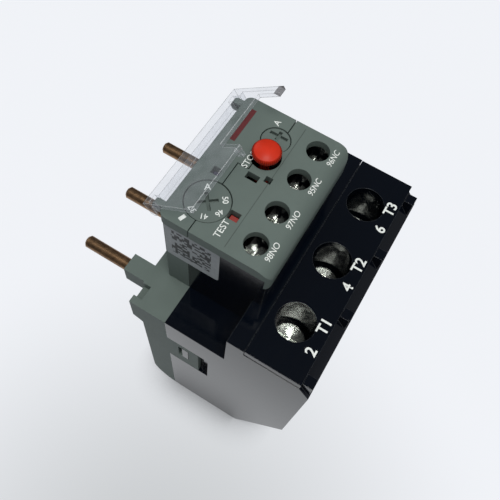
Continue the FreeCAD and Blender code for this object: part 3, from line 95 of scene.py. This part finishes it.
class Shader:
    """A material's node tree with short calls for the nodes used here."""

    def __init__(self, name):
        self.material = bpy.data.materials.new(name)
        self.material.use_nodes = True
        self.tree = self.material.node_tree
        self.tree.nodes.clear()
        self.output = self.node("ShaderNodeOutputMaterial")
        self.surface = self.node("ShaderNodeBsdfPrincipled")
        self.link(self.surface.outputs["BSDF"], self.output.inputs["Surface"])
        self.place = self.node("ShaderNodeTexCoord").outputs["Object"]

    def node(self, kind, **settings):
        node = self.tree.nodes.new(kind)
        for key, value in settings.items():
            setattr(node, key, value)
        return node

    def link(self, source, target):
        self.tree.links.new(source, target)

    def feed(self, socket, value):
        """Gives a socket an output, a colour or a number."""
        if isinstance(value, bpy.types.NodeSocket):
            self.link(value, socket)
        elif socket.type == "RGBA":
            socket.default_value = tuple(value) + (1,)
        else:
            socket.default_value = value

    def set(self, **values):
        """Feeds the inputs of the surface shader."""
        for name, value in values.items():
            self.feed(self.surface.inputs[name.replace("_", " ")], value)

    def noise(self, size, detail=4.0, rough=0.55, stretch=(1, 1, 1)):
        """Noise whose features are about `size` metres across."""
        mapping = self.node("ShaderNodeMapping")
        mapping.inputs["Scale"].default_value = stretch
        self.link(self.place, mapping.inputs["Vector"])
        noise = self.node("ShaderNodeTexNoise")
        noise.inputs["Scale"].default_value = 1 / size
        noise.inputs["Detail"].default_value = detail
        noise.inputs["Roughness"].default_value = rough
        self.link(mapping.outputs["Vector"], noise.inputs["Vector"])
        return noise.outputs["Fac"]

    def ramp(self, value, *stops):
        """Maps a value through (position, grey level) stops."""
        ramp = self.node("ShaderNodeValToRGB")
        elements = ramp.color_ramp.elements
        for element, (position, level) in zip(elements, stops):
            element.position = position
            element.color = (level, level, level, 1)
        self.link(value, ramp.inputs["Fac"])
        return ramp.outputs["Color"]

    def mix(self, amount, first, second):
        """Colour between two colours or outputs."""
        mix = self.node("ShaderNodeMix", data_type="RGBA")
        for name, value in (("Factor", amount), ("A", first), ("B", second)):
            self.feed(mix.inputs[name], value)
        return mix.outputs["Result"]

    def clouds(self, noise, first, second):
        """Colour that drifts between two with a noise."""
        return self.mix(self.ramp(noise, (0.3, 0.0), (0.7, 1.0)), first, second)

    def math(self, operation, first, second):
        node = self.node("ShaderNodeMath", operation=operation)
        self.feed(node.inputs[0], first)
        self.feed(node.inputs[1], second)
        return node.outputs["Value"]

    def vector_math(self, operation, *vectors):
        node = self.node("ShaderNodeVectorMath", operation=operation)
        for socket, vector in zip(node.inputs, vectors):
            self.feed(socket, vector)
        return node

    def dot(self, first, second):
        return self.vector_math("DOT_PRODUCT", first, second).outputs["Value"]

    def remap(self, value, start, end, first, last, **settings):
        """Maps start..end to first..last and holds both ends."""
        spread = self.node("ShaderNodeMapRange", **settings)
        for name, number in (("From Min", start), ("From Max", end), ("To Min", first), ("To Max", last)):
            spread.inputs[name].default_value = number
        self.link(value, spread.inputs["Value"])
        return spread.outputs["Result"]

    def between(self, value, lowest, highest):
        """Maps 0..1 to a range."""
        return self.remap(value, 0.0, 1.0, lowest, highest)

    def blend(self, amount, first, second):
        """Surface that goes from one shader to another as the amount rises."""
        mix = self.node("ShaderNodeMixShader")
        self.link(amount, mix.inputs["Fac"])
        self.link(first, mix.inputs[1])
        self.link(second, mix.inputs[2])
        self.link(mix.outputs["Shader"], self.output.inputs["Surface"])

    def bump(self, height, distance, normal=None):
        bump = self.node("ShaderNodeBump")
        bump.inputs["Distance"].default_value = distance
        self.link(height, bump.inputs["Height"])
        if normal is not None:
            self.link(normal, bump.inputs["Normal"])
        return bump.outputs["Normal"]

    def edges(self, radius):
        """(normal rounded over edges, 0..1 mask that rises at edges)."""
        bevel = self.node("ShaderNodeBevel", samples=4)
        bevel.inputs["Radius"].default_value = radius
        rounded = bevel.outputs["Normal"]
        flat = self.node("ShaderNodeNewGeometry").outputs["Normal"]
        return rounded, self.ramp(self.dot(rounded, flat), (0.80, 1.0), (0.985, 0.0))

    def centred(self):
        """Coordinates that run from -0.5 to 0.5 over the box of the object."""
        shift = self.node("ShaderNodeMapping", vector_type="POINT")
        shift.inputs["Location"].default_value = (-0.5, -0.5, -0.5)
        self.link(self.node("ShaderNodeTexCoord").outputs["Generated"], shift.inputs["Vector"])
        return shift.outputs["Vector"]

    def dome(self, centred):
        """Height of a dome over the XY middle of a box whose corners lie at -0.5 and 0.5."""
        scaled = self.node("ShaderNodeMapping")
        scaled.inputs["Scale"].default_value = (2.0, 2.0, 0.0)
        self.link(centred, scaled.inputs["Vector"])
        flat = scaled.outputs["Vector"]
        return self.math("SUBTRACT", 1.0, self.dot(flat, flat))


def shade(colour, factor):
    return tuple(min(1.0, c * factor) for c in colour)


def moulded(name, colour, roughness, grain=0.006 * MM, edge_sheen_and_wear=1.6, edge_radius=0.35 * MM, gloss=0.5):
    """Moulded plastic: mottled colour, fine grain, uneven gloss and paler edges, a painted edge highlight
    broken in patches like rubbed wear.

    The edge argument is the colour of the edges, or how many times as bright as the rest they are.
    """
    s = Shader(name)
    body = s.clouds(s.noise(9 * MM, detail=5), shade(colour, 0.955), shade(colour, 1.045))
    normal, edge = s.edges(edge_radius)
    patches = s.ramp(s.noise(1.1 * MM, detail=3), (0.30, 0.25), (0.65, 1.0))
    # Paler edges: painted edge highlight, broken in patches like rubbed wear.
    edge_sheen_and_wear_colour = edge_sheen_and_wear if isinstance(edge_sheen_and_wear, tuple) else shade(colour, edge_sheen_and_wear)
    body = s.mix(s.math("MULTIPLY", edge, patches), body, edge_sheen_and_wear_colour)
    scratches = s.noise(2.2 * MM, detail=6, rough=0.65, stretch=(0.25, 1.6, 1.0))
    s.set(Base_Color=body, Roughness=s.between(scratches, roughness - 0.04, roughness + 0.10),
          Specular_IOR_Level=gloss,
          Normal=s.bump(s.noise(0.35 * MM, detail=2), grain, normal=normal))
    return s.material


def metal(name, colour, roughness, tarnish, stretch=(1, 1, 1)):
    """Plated or drawn metal with tarnish clouds, machining marks and a painted highlight along its edges.
    """
    s = Shader(name)
    cloud = s.ramp(s.noise(1.8 * MM, detail=6, rough=0.6), (0.35, 0.0), (0.72, 1.0))
    marks = s.noise(0.5 * MM, detail=4, stretch=stretch)
    normal, edge = s.edges(0.2 * MM)
    # Edges painted 1.35 times as bright: painted edge highlight.
    body = s.mix(edge, s.mix(cloud, colour, tarnish), shade(colour, 1.35))
    s.set(Base_Color=body, Metallic=1.0,
          Roughness=s.between(marks, roughness - 0.08, roughness + 0.16),
          Normal=s.bump(marks, 0.01 * MM, normal=normal))
    return s.material


def turned_metal(name, colour, roughness, bulge):
    """Bright screw metal, domed by `bulge`, with rings turned about its own axis and a near-white painted
    highlight along its edges.
    """
    s = Shader(name)
    centred = s.centred()
    rings = s.node("ShaderNodeTexWave", wave_type="RINGS", rings_direction="Z")
    rings.inputs["Scale"].default_value = 9.0
    rings.inputs["Distortion"].default_value = 0.3
    rings.inputs["Detail"].default_value = 1.0
    s.link(centred, rings.inputs["Vector"])
    cloud = s.ramp(s.noise(1.2 * MM, detail=5), (0.4, 0.0), (0.7, 1.0))
    normal, edge = s.edges(0.15 * MM)
    normal = s.bump(s.dome(centred), bulge, normal=normal)
    # Near-white edges: painted edge highlight.
    body = s.mix(edge, s.mix(cloud, colour, shade(colour, 0.62)), (0.95, 0.95, 0.93))
    s.set(Base_Color=body, Metallic=1.0,
          Roughness=s.between(s.noise(0.9 * MM), roughness - 0.03, roughness + 0.06),
          Normal=s.bump(rings.outputs["Fac"], 0.045 * MM, normal=normal))
    return s.material


def clear_plastic(name, tint, shaded_end_corner):
    """Thin clear plastic: a see-through sheet with gloss and faint haze, pale edges that are a painted
    edge highlight, and one end darkened with painted shade.

    The painted shade covers the part that lies beyond the given corner along both +X and +Z.
    """
    s = Shader(name)
    normal, edge = s.edges(0.42 * MM)
    smear = s.ramp(s.noise(1.5 * MM, detail=8, rough=0.7, stretch=(0.2, 2.0, 1.0)),
                   (0.5, 0.04), (0.72, 0.18))
    along = s.node("ShaderNodeSeparateXYZ")
    s.link(s.place, along.inputs["Vector"])
    # Mask of the far end, which gets painted shade.
    end = s.math("MULTIPLY", s.math("GREATER_THAN", along.outputs["X"], shaded_end_corner.x),
                 s.math("GREATER_THAN", along.outputs["Z"], shaded_end_corner.z))
    pale = s.mix(edge, (0.60, 0.62, 0.66), (0.58, 0.60, 0.62))
    # The far end is coloured dark grey: painted shade.
    s.set(Base_Color=s.mix(end, pale, (0.10, 0.095, 0.10)), Roughness=smear, IOR=1.5,
          Normal=s.bump(s.noise(5 * MM, detail=2), 0.05 * MM, normal=normal))
    through = s.node("ShaderNodeBsdfTransparent")
    s.feed(through.inputs["Color"], tint)
    haze = s.ramp(s.noise(4 * MM, detail=3), (0.35, 0.035), (0.62, 0.085))
    # Edges show the pale surface as a painted edge highlight, and the far end shows it dark as painted
    # shade.
    lit_rims_and_shaded_end = s.math("MAXIMUM", s.math("MULTIPLY", edge, 0.9), s.math("MULTIPLY", end, 0.8))
    s.blend(s.math("MAXIMUM", haze, lit_rims_and_shaded_end), through.outputs["BSDF"], s.surface.outputs["BSDF"])
    return s.material


def button_plastic(name, colour, serrations):
    """Glossy cap, slightly domed, with fine serrations round its rim whose grooves get painted shade."""
    s = Shader(name)
    centred = s.centred()
    normal, _ = s.edges(0.3 * MM)
    turn = s.node("ShaderNodeTexGradient", gradient_type="RADIAL")
    s.link(centred, turn.inputs["Vector"])
    teeth = s.math("PINGPONG", s.math("MULTIPLY", turn.outputs["Fac"], serrations), 0.5)
    dome = s.dome(centred)
    rim = s.ramp(dome, (0.10, 1.0), (0.36, 0.0))
    ridge = s.math("MULTIPLY", s.math("MULTIPLY", teeth, 2.0), rim)
    normal = s.bump(dome, 1.4 * MM, normal=normal)
    body = s.clouds(s.noise(3 * MM, detail=5), shade(colour, 0.92), shade(colour, 1.08))
    # The serration pattern is coloured darker: painted shade in the serrations.
    s.set(Base_Color=s.mix(ridge, body, shade(colour, 0.40)),
          Roughness=s.between(s.noise(0.8 * MM, detail=5), 0.36, 0.5),
          Specular_IOR_Level=0.2, Normal=s.bump(ridge, 0.15 * MM, normal=normal))
    return s.material


def printed_cells(name, cell, dark, pale):
    """A field of small dark and pale squares in no order, as a worn printed label shows."""
    s = Shader(name)
    snap = s.vector_math("SNAP", s.place, (cell, cell, cell))
    chance = s.node("ShaderNodeTexWhiteNoise")
    s.link(snap.outputs["Vector"], chance.inputs["Vector"])
    cells = s.ramp(chance.outputs["Value"], (0.50, 0.0), (0.53, 1.0))
    fade = s.ramp(s.noise(0.9 * MM, detail=4), (0.3, 0.92), (0.6, 1.0))
    s.set(Base_Color=s.mix(s.math("MULTIPLY", cells, fade), pale, dark), Roughness=0.5,
          Normal=s.bump(s.noise(0.4 * MM), 0.004 * MM))
    return s.material


def ink(name, colour):
    """Printed ink, slightly patchy."""
    s = Shader(name)
    patch = s.ramp(s.noise(0.5 * MM, detail=4), (0.35, 0.0), (0.65, 1.0))
    s.set(Base_Color=s.mix(patch, shade(colour, 0.78), colour), Roughness=0.55,
          Normal=s.bump(s.noise(0.25 * MM), 0.004 * MM))
    return s.material


def foil(name, colour):
    """Silvery printed label stock."""
    s = Shader(name)
    fibre = s.noise(0.6 * MM, detail=5, stretch=(1, 0.3, 1))
    s.set(Base_Color=s.clouds(fibre, shade(colour, 0.85), shade(colour, 1.1)),
          Roughness=s.between(fibre, 0.45, 0.6), Specular_IOR_Level=0.3,
          Normal=s.bump(fibre, 0.005 * MM))
    return s.material


BLACK = (0.0012, 0.0024, 0.0052)
CORE_BLACK = (0.0014, 0.0022, 0.0046)
GREY = (0.100, 0.127, 0.115)
# The paler edge colour here is a painted edge highlight, broken in patches like rubbed wear.
DARK_SIDE = {"grain": 0.0015 * MM, "edge_sheen_and_wear": (0.075, 0.082, 0.088), "edge_radius": 0.22 * MM}
# Corner of the lid beyond which its far arm end gets painted shade.
LID_SHADED_END_CORNER = high("flip_lid") - Vector((10, 0, 1.0)) * MM

# The edge factors and colours given to moulded() brighten the edges: painted edge highlight, broken in
# patches like rubbed wear.
materials = {
    "black_housing": moulded("black_moulding", BLACK, 0.075, gloss=0.38, **DARK_SIDE),
    "black_core": moulded("core_moulding", CORE_BLACK, 0.13, gloss=0.30, **DARK_SIDE),
    "grey_housing": moulded("grey_moulding", GREY, 0.52, grain=0.008 * MM, edge_sheen_and_wear=1.35, gloss=0.16),
    "dial": moulded("dial_moulding", shade(GREY, 0.95), 0.46, edge_sheen_and_wear=1.3, gloss=0.3),
    "grey_knob": moulded("knob_moulding", GREY, 0.46, edge_sheen_and_wear=1.3, gloss=0.3),
    "red_button": button_plastic("red_moulding", (0.50, 0.023, 0.006), serrations=44),
    "red_plunger": moulded("dull_red_moulding", (0.30, 0.035, 0.028), 0.45, edge_sheen_and_wear=1.2),
    "black_stem": moulded("stem_moulding", (0.012, 0.012, 0.014), 0.40),
    "clear_lid": clear_plastic("clear_lid_plastic", (0.955, 0.96, 0.968), LID_SHADED_END_CORNER),
    "flag": moulded("flag_moulding", (0.045, 0.045, 0.085), 0.45),
    "lever": moulded("lever_moulding", (0.010, 0.010, 0.012), 0.50),
    "slide": moulded("slide_board", (0.36, 0.29, 0.19), 0.60),
    "zinc_screw": turned_metal("bright_zinc", (0.72, 0.77, 0.72), 0.17, 0.75 * MM),
    "zinc_clamp": metal("plated_steel", (0.62, 0.62, 0.60), 0.30, (0.42, 0.42, 0.41)),
    "copper_pin": metal("tarnished_copper", (0.40, 0.245, 0.135), 0.34, (0.17, 0.105, 0.06),
                        stretch=(1, 0.12, 1)),
    "copper_bar": metal("copper_strip", (0.60, 0.33, 0.20), 0.32, (0.34, 0.19, 0.12)),
    "brass_contact": metal("brass_strip", (0.65, 0.50, 0.24), 0.30, (0.42, 0.33, 0.17)),
    "bimetal": metal("rolled_bimetal", (0.50, 0.48, 0.44), 0.38, (0.32, 0.30, 0.27)),
    "steel_pin": metal("drawn_steel", (0.58, 0.58, 0.58), 0.25, (0.42, 0.42, 0.43)),
    "spring_wire": metal("spring_steel", (0.40, 0.40, 0.41), 0.28, (0.25, 0.25, 0.26)),
}
white_ink = ink("white_ink", (0.74, 0.77, 0.74))
red_ink = ink("red_ink", (0.12, 0.013, 0.016))
# Dark line for the face seam: painted shade in the seam's groove, drawn with the ink look.
groove = ink("groove_shade", (0.030, 0.040, 0.037))
label_foil = foil("label_foil", (0.27, 0.29, 0.30))
label_cells = printed_cells("label_cells", 0.8 * MM, (0.004, 0.005, 0.007), (0.23, 0.25, 0.26))

for entry in frame["record"]["subparts"]:
    obj = nodes[entry["node"]]
    obj.data.materials.clear()
    obj.data.materials.append(materials[entry["material_slot"]])


# ---------------------------------------------------------------- printing

INK_LIFT = 0.02 * MM
BAR_THICK = 0.01 * MM
CAPITAL_SHARE = 0.70  # height of a capital letter over the size of the font


def new_piece(name, mesh, body, finish):
    piece = bpy.data.objects.new(name, mesh)
    bpy.context.scene.collection.objects.link(piece)
    mesh.materials.append(finish)
    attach(piece, body)
    return piece


def text_mesh(text, height, bold):
    """A flat mesh of the text in metres, centred on the origin, with capitals `height` high."""
    curve = bpy.data.curves.new(text, "FONT")
    curve.body = text
    curve.size = height / CAPITAL_SHARE
    curve.offset = bold * height
    curve.resolution_u = 6
    holder = bpy.data.objects.new(text, curve)
    mesh = bpy.data.meshes.new_from_object(holder)
    bpy.data.objects.remove(holder)
    xs = [v.co.x for v in mesh.vertices]
    ys = [v.co.y for v in mesh.vertices]
    centre = Vector(((min(xs) + max(xs)) / 2, (min(ys) + max(ys)) / 2, 0))
    mesh.transform(Matrix.Translation(-centre))
    return mesh


def print_flat(name, text, place, height, bold, body="housing", turn=0.0):
    """White text on a face square to Z, turned by degrees about its middle."""
    mesh = text_mesh(text, height, bold)
    mesh.transform(Matrix.Translation(place + Vector((0, 0, INK_LIFT)))
                   @ Matrix.Rotation(math.radians(turn), 4, "Z"))
    new_piece(name, mesh, body, white_ink)


def print_on_round(name, text, place, height, bold):
    """White text dropped onto the rounded edge of the lower cover."""
    mesh = text_mesh(text, height, bold)
    mesh.transform(Matrix.Translation(place))
    work = bmesh.new()
    work.from_mesh(mesh)
    bmesh.ops.subdivide_edges(work, edges=work.edges, cuts=2)
    start = FACE_LOW_Y + FACE_ROUND
    for vertex in work.verts:
        beyond = max(0.0, start - vertex.co.y)
        drop = FACE_ROUND - math.sqrt(max(0.0, FACE_ROUND ** 2 - beyond ** 2))
        vertex.co.z = FACE_Z - drop + INK_LIFT * 2
    work.to_mesh(mesh)
    work.free()
    new_piece(name, mesh, "housing", white_ink)


def print_bar(name, length, width, place, finish, turn=0.0):
    """A thin flat bar on the face, along X unless turned by degrees about its middle."""
    mesh = bpy.data.meshes.new(name)
    work = bmesh.new()
    bmesh.ops.create_cube(work, size=1.0)
    bmesh.ops.scale(work, vec=(length, width, BAR_THICK), verts=work.verts)
    work.to_mesh(mesh)
    work.free()
    mesh.transform(Matrix.Translation((place.x, place.y, FACE_Z + INK_LIFT))
                   @ Matrix.Rotation(math.radians(turn), 4, "Z"))
    new_piece(name, mesh, "housing", finish)


def polar(centre, radius, degrees):
    angle = math.radians(degrees)
    return centre + Vector((math.cos(angle), math.sin(angle), 0)) * radius


AUX_MARK_HEIGHT = 1.6 * MM
AUX_MARK_SHIFT = 0.3 * MM
AUX_MARK_RISE = 3.3 * MM
for number, text in enumerate(("98NO", "97NO", "95NC", "96NC"), start=1):
    screw = middle("aux_screw_%d" % number)
    spot = Vector((screw.x + AUX_MARK_SHIFT, FACE_LOW_Y + AUX_MARK_RISE, 0))
    print_on_round("mark_" + text, text, spot, AUX_MARK_HEIGHT, bold=0.004)

POLE_MARK_HEIGHT = 3.1 * MM
POLE_MARK_RISE = 2.2 * MM
LINE_SHIFT = Vector((-5.2, 0, 0)) * MM
LOAD_SHIFT = Vector((2.6, 0.2, 0)) * MM
for number, line in enumerate(("2", "4", "6"), start=1):
    screw = middle("terminal_screw_%d" % number)
    base = Vector((screw.x, low("terminal_cover").y + POLE_MARK_RISE, PLATE_Z))
    load = "T%d" % number
    for kind, text, shift in (("line_", line, LINE_SHIFT), ("load_", load, LOAD_SHIFT)):
        print_flat("mark_" + kind + text, text, base + shift, POLE_MARK_HEIGHT, bold=0.03)

# name, text, node beside it, shift from that node's middle in mm, height in mm, weight of the strokes
FACE_MARKS = (
    ("mark_stop", "STOP", "stop_button", (-3.2, 3.4), 1.7, 0.004),
    ("mark_auto", "A", "reset_knob", (5.2, 2.5), 1.8, 0.008),
    ("mark_test", "TEST", "test_plunger", (-4.7, 0.8), 1.8, 0.004),
)
for name, text, beside, (right, up), height, bold in FACE_MARKS:
    spot = Vector((middle(beside).x + right * MM, middle(beside).y + up * MM, FACE_Z))
    print_flat(name, text, spot, height * MM, bold=bold)

# name, text, direction from the dial's axis in degrees, share of its radius, height
DIAL_MARKS = (
    ("dial_37", "37", 152, 0.74, 1.55 * MM),
    ("dial_41", "41", 202, 0.74, 1.55 * MM),
    ("dial_46", "46", 254, 0.74, 1.55 * MM),
    ("dial_50", "50", 307, 0.74, 1.55 * MM),
    ("dial_unit", "A", 33, 0.70, 1.9 * MM),
)
dial = middle("setting_dial")
dial_top = Vector((dial.x, dial.y, high("setting_dial").z))
dial_radius = (high("setting_dial").x - low("setting_dial").x) / 2
for name, text, degrees, share, height in DIAL_MARKS:
    print_flat(name, text, polar(dial_top, dial_radius * share, degrees), height, bold=0.01,
               body="dial", turn=degrees - 90)

POINTER_LENGTH = 1.9 * MM
POINTER_WIDTH = 1.05 * MM
POINTER_TURN = 160
print_bar("dial_pointer", POINTER_LENGTH, POINTER_WIDTH,
          polar(dial_top, dial_radius + POINTER_LENGTH, POINTER_TURN), white_ink, turn=POINTER_TURN)

# A dark bar along the face seam: painted shade in its groove.
SEAM_MARGIN = 2.6 * MM
SEAM_WIDTH = 0.12 * MM
SEAM_RISE = 6.2 * MM
cover_width = high("front_cover_lower").x - low("front_cover_lower").x
seam_middle = Vector((middle("front_cover_lower").x, middle("aux_screw_1").y + SEAM_RISE, 0))
print_bar("face_seam", cover_width - SEAM_MARGIN, SEAM_WIDTH, seam_middle, groove)

STRIPE_LENGTH = 12 * MM
STRIPE_WIDTH = 1.5 * MM
STRIPE_MIDDLE = Vector((12, 21.8, 0)) * MM
print_bar("face_stripe", STRIPE_LENGTH, STRIPE_WIDTH, STRIPE_MIDDLE, red_ink)


# ---------------------------------------------------------------- label on the side wall

LABEL_MIDDLE = Vector((WALL_X, 16.1 * MM, 107.2 * MM))
CORNER_STEPS = 6


def label_sheet(name, width, height, radius, thick, place, finish):
    """A thin sheet with rounded corners on the wall that faces -X."""
    mesh = bpy.data.meshes.new(name)
    work = bmesh.new()
    rim = []
    for side_y, side_z, start in ((1, 1, 0), (-1, 1, 90), (-1, -1, 180), (1, -1, 270)):
        for step in range(CORNER_STEPS + 1):
            angle = math.radians(start + step * 90 / CORNER_STEPS)
            y = side_y * (width / 2 - radius) + radius * math.cos(angle)
            z = side_z * (height / 2 - radius) + radius * math.sin(angle)
            rim.append(work.verts.new((0, y, z)))
    moved = bmesh.ops.extrude_face_region(work, geom=[work.faces.new(rim)])
    front = [v for v in moved["geom"] if isinstance(v, bmesh.types.BMVert)]
    bmesh.ops.translate(work, vec=(-thick, 0, 0), verts=front)
    bmesh.ops.recalc_face_normals(work, faces=work.faces)
    work.to_mesh(mesh)
    work.free()
    mesh.transform(Matrix.Translation(place))
    new_piece(name, mesh, "housing", finish)


label_sheet("side_label", 17.2 * MM, 17.4 * MM, 1.2 * MM, 0.06 * MM, LABEL_MIDDLE, label_foil)
label_sheet("side_label_field", 12.6 * MM, 13.0 * MM, 0.1 * MM, 0.02 * MM,
            LABEL_MIDDLE + Vector((-0.06, 0.3, 0.6)) * MM, label_cells)


# ---------------------------------------------------------------- springs rebuilt as coils

SPRING_WIRE = 0.6 * MM
SPRING_TURNS = 4
STEPS_PER_TURN = 24


def live_spring(node):
    """The spring of the CAD again, as a coil with the same square wire and turns, in place of the CAD
    spring, which is hidden.
    """
    foot, top, centre = low(node), high(node), middle(node)
    outer = (top.x - foot.x) / 2
    inner = outer - SPRING_WIRE
    rise = top.z - foot.z - SPRING_WIRE
    steps = SPRING_TURNS * STEPS_PER_TURN
    section = ((inner, 0), (outer, 0), (outer, SPRING_WIRE), (inner, SPRING_WIRE))
    points, faces = [], []
    for step in range(steps + 1):
        angle = 2 * math.pi * SPRING_TURNS * step / steps
        level = foot.z + rise * step / steps
        for radius, lift in section:
            points.append((centre.x + radius * math.cos(angle), centre.y + radius * math.sin(angle),
                           level + lift))
        if step:
            here, back = step * 4, step * 4 - 4
            for side in range(4):
                turn = (side + 1) % 4
                faces.append((back + side, back + turn, here + turn, here + side))
    last = steps * 4
    faces += [(3, 2, 1, 0), (last, last + 1, last + 2, last + 3)]
    mesh = bpy.data.meshes.new(node + "_coil")
    mesh.from_pydata(points, [], faces)
    coil = new_piece(node + "_coil", mesh, "housing", materials["spring_wire"])
    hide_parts(node)
    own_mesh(coil)


live_spring("stop_spring")
live_spring("reset_spring")


# ---------------------------------------------------------------- floor, light, camera

FLOOR_HALF = 2.5
FLOOR_GAP = 0.1 * MM
# Middle and reach of a soft shadow painted into the floor's glow to the left of the relay.
SHADE_MIDDLE = (-110 * MM, -20 * MM, 0)
SHADE_RADIUS = 0.15
# Reach of the painted contact shadow with which ambient occlusion darkens the glow.
CONTACT_REACH = 14 * MM
GLOW_SHARE = 0.84
# The glow that glossy rays see fades with distance from the middle: painted shade in the reflections of
# the floor.
GLOSSY_NEAR, GLOSSY_FAR, GLOSSY_LOSS = 0.10, 0.35, 0.9


def pale_floor():
    """Pale sheet that the relay lies on; a camera, glossy or transmitted ray sees it near white, with a
    painted shadow to the left of the relay and a painted contact shadow round it.
    """
    mesh = bpy.data.meshes.new("floor")
    corners = [(x * FLOOR_HALF, y * FLOOR_HALF, 0) for x, y in ((-1, -1), (1, -1), (1, 1), (-1, 1))]
    mesh.from_pydata(corners, [], [(0, 1, 2, 3)])
    floor = bpy.data.objects.new("floor", mesh)
    bpy.context.scene.collection.objects.link(floor)
    s = Shader("floor_sheet")
    paper = s.clouds(s.noise(0.16, detail=1), (0.34, 0.35, 0.38), (0.36, 0.37, 0.40))
    s.set(Base_Color=paper, Roughness=0.75)
    # Painted shadow: the glow darkens towards SHADE_MIDDLE.
    apart = s.vector_math("DISTANCE", s.place, SHADE_MIDDLE).outputs["Value"]
    shaded = s.remap(apart, 0.0, SHADE_RADIUS, 0.0, 1.0, interpolation_type="SMOOTHSTEP")
    glow = s.node("ShaderNodeEmission")
    s.link(s.mix(shaded, (0.60, 0.62, 0.63), (0.97, 0.99, 1.03)), glow.inputs["Color"])
    # Painted contact shadow: ambient occlusion darkens the glow near the relay.
    near = s.node("ShaderNodeAmbientOcclusion", samples=6)
    near.inputs["Distance"].default_value = CONTACT_REACH
    contact = s.ramp(near.outputs["AO"], (0.30, 0.12), (0.90, 1.0))
    # Glossy rays see the glow fade with distance from the middle: painted shade in reflections.
    distance = s.vector_math("LENGTH", s.place).outputs["Value"]
    loss = s.remap(distance, GLOSSY_NEAR, GLOSSY_FAR, 0.0, GLOSSY_LOSS)
    path = s.node("ShaderNodeLightPath")
    seen = path.outputs["Is Camera Ray"]
    for ray in ("Is Glossy Ray", "Is Transmission Ray"):
        seen = s.math("MAXIMUM", seen, path.outputs[ray])
    dimmed = s.math("SUBTRACT", 1.0, s.math("MULTIPLY", loss, path.outputs["Is Glossy Ray"]))
    s.link(s.math("MULTIPLY", contact, dimmed), glow.inputs["Strength"])
    s.blend(s.math("MULTIPLY", seen, GLOW_SHARE), s.surface.outputs["BSDF"], glow.outputs["Emission"])
    mesh.materials.append(s.material)
    floor.location.z = cad_box[0][2] - FLOOR_GAP


def soft_light(name, place, size, power, colour):
    """A round lamp that faces the middle of the relay."""
    data = bpy.data.lights.new(name, "AREA")
    data.shape = "DISK"
    data.size = size
    data.energy = power
    data.color = colour
    light = bpy.data.objects.new(name, data)
    bpy.context.scene.collection.objects.link(light)
    light.location = place
    light.rotation_euler = (Vector((0, 0, 0.06)) - Vector(place)).to_track_quat("-Z", "Y").to_euler()


def room_light():
    """Even room light for matt surfaces, with a dark ceiling for gloss and a white one for the camera."""
    world = bpy.data.worlds.new("room")
    bpy.context.scene.world = world
    world.use_nodes = True
    tree = world.node_tree
    background = tree.nodes["Background"]
    background.inputs["Color"].default_value = (0.95, 0.97, 1.0, 1)
    direction = tree.nodes.new("ShaderNodeSeparateXYZ")
    sky = tree.nodes.new("ShaderNodeTexCoord")
    tree.links.new(sky.outputs["Generated"], direction.inputs["Vector"])
    overhead = tree.nodes.new("ShaderNodeMapRange")
    overhead.inputs["To Min"].default_value = 0.12
    overhead.inputs["To Max"].default_value = 0.92
    tree.links.new(direction.outputs["Z"], overhead.inputs["Value"])
    path = tree.nodes.new("ShaderNodeLightPath")
    strength = overhead.outputs["Result"]
    for ray, level in (("Is Glossy Ray", 0.09), ("Is Camera Ray", 0.90)):
        choice = tree.nodes.new("ShaderNodeMix")
        choice.inputs["B"].default_value = level
        tree.links.new(path.outputs[ray], choice.inputs["Factor"])
        tree.links.new(strength, choice.inputs["A"])
        strength = choice.outputs["Result"]
    tree.links.new(strength, background.inputs["Strength"])


def photo_camera():
    """Camera fitted to the photograph: place, and directions to the right, up and back."""
    data = bpy.data.cameras.new("camera")
    data.sensor_width = 36
    data.lens = 42.2
    data.clip_start = 0.01
    camera = bpy.data.objects.new("camera", data)
    bpy.context.scene.collection.objects.link(camera)
    place = Vector((-77.00, -21.77, 251.64)) * MM
    right = Vector((0.50998, -0.85686, 0.07554))
    up = Vector((0.76246, 0.49096, 0.42145))
    back = Vector((-0.39821, -0.15733, 0.90370))
    turn = Matrix((right, up, back)).transposed()
    camera.matrix_world = Matrix.Translation(place) @ turn.to_4x4()
    bpy.context.scene.camera = camera


pale_floor()
room_light()
soft_light("window", (-0.16, -0.12, 1.0), size=0.39, power=5.0, colour=(1.0, 0.99, 0.95))
soft_light("side_fill", (0.5, 1.0, 0.5), size=0.5, power=1.2, colour=(0.95, 0.97, 1.0))
photo_camera()
bpy.context.scene.view_settings.view_transform = "Standard"
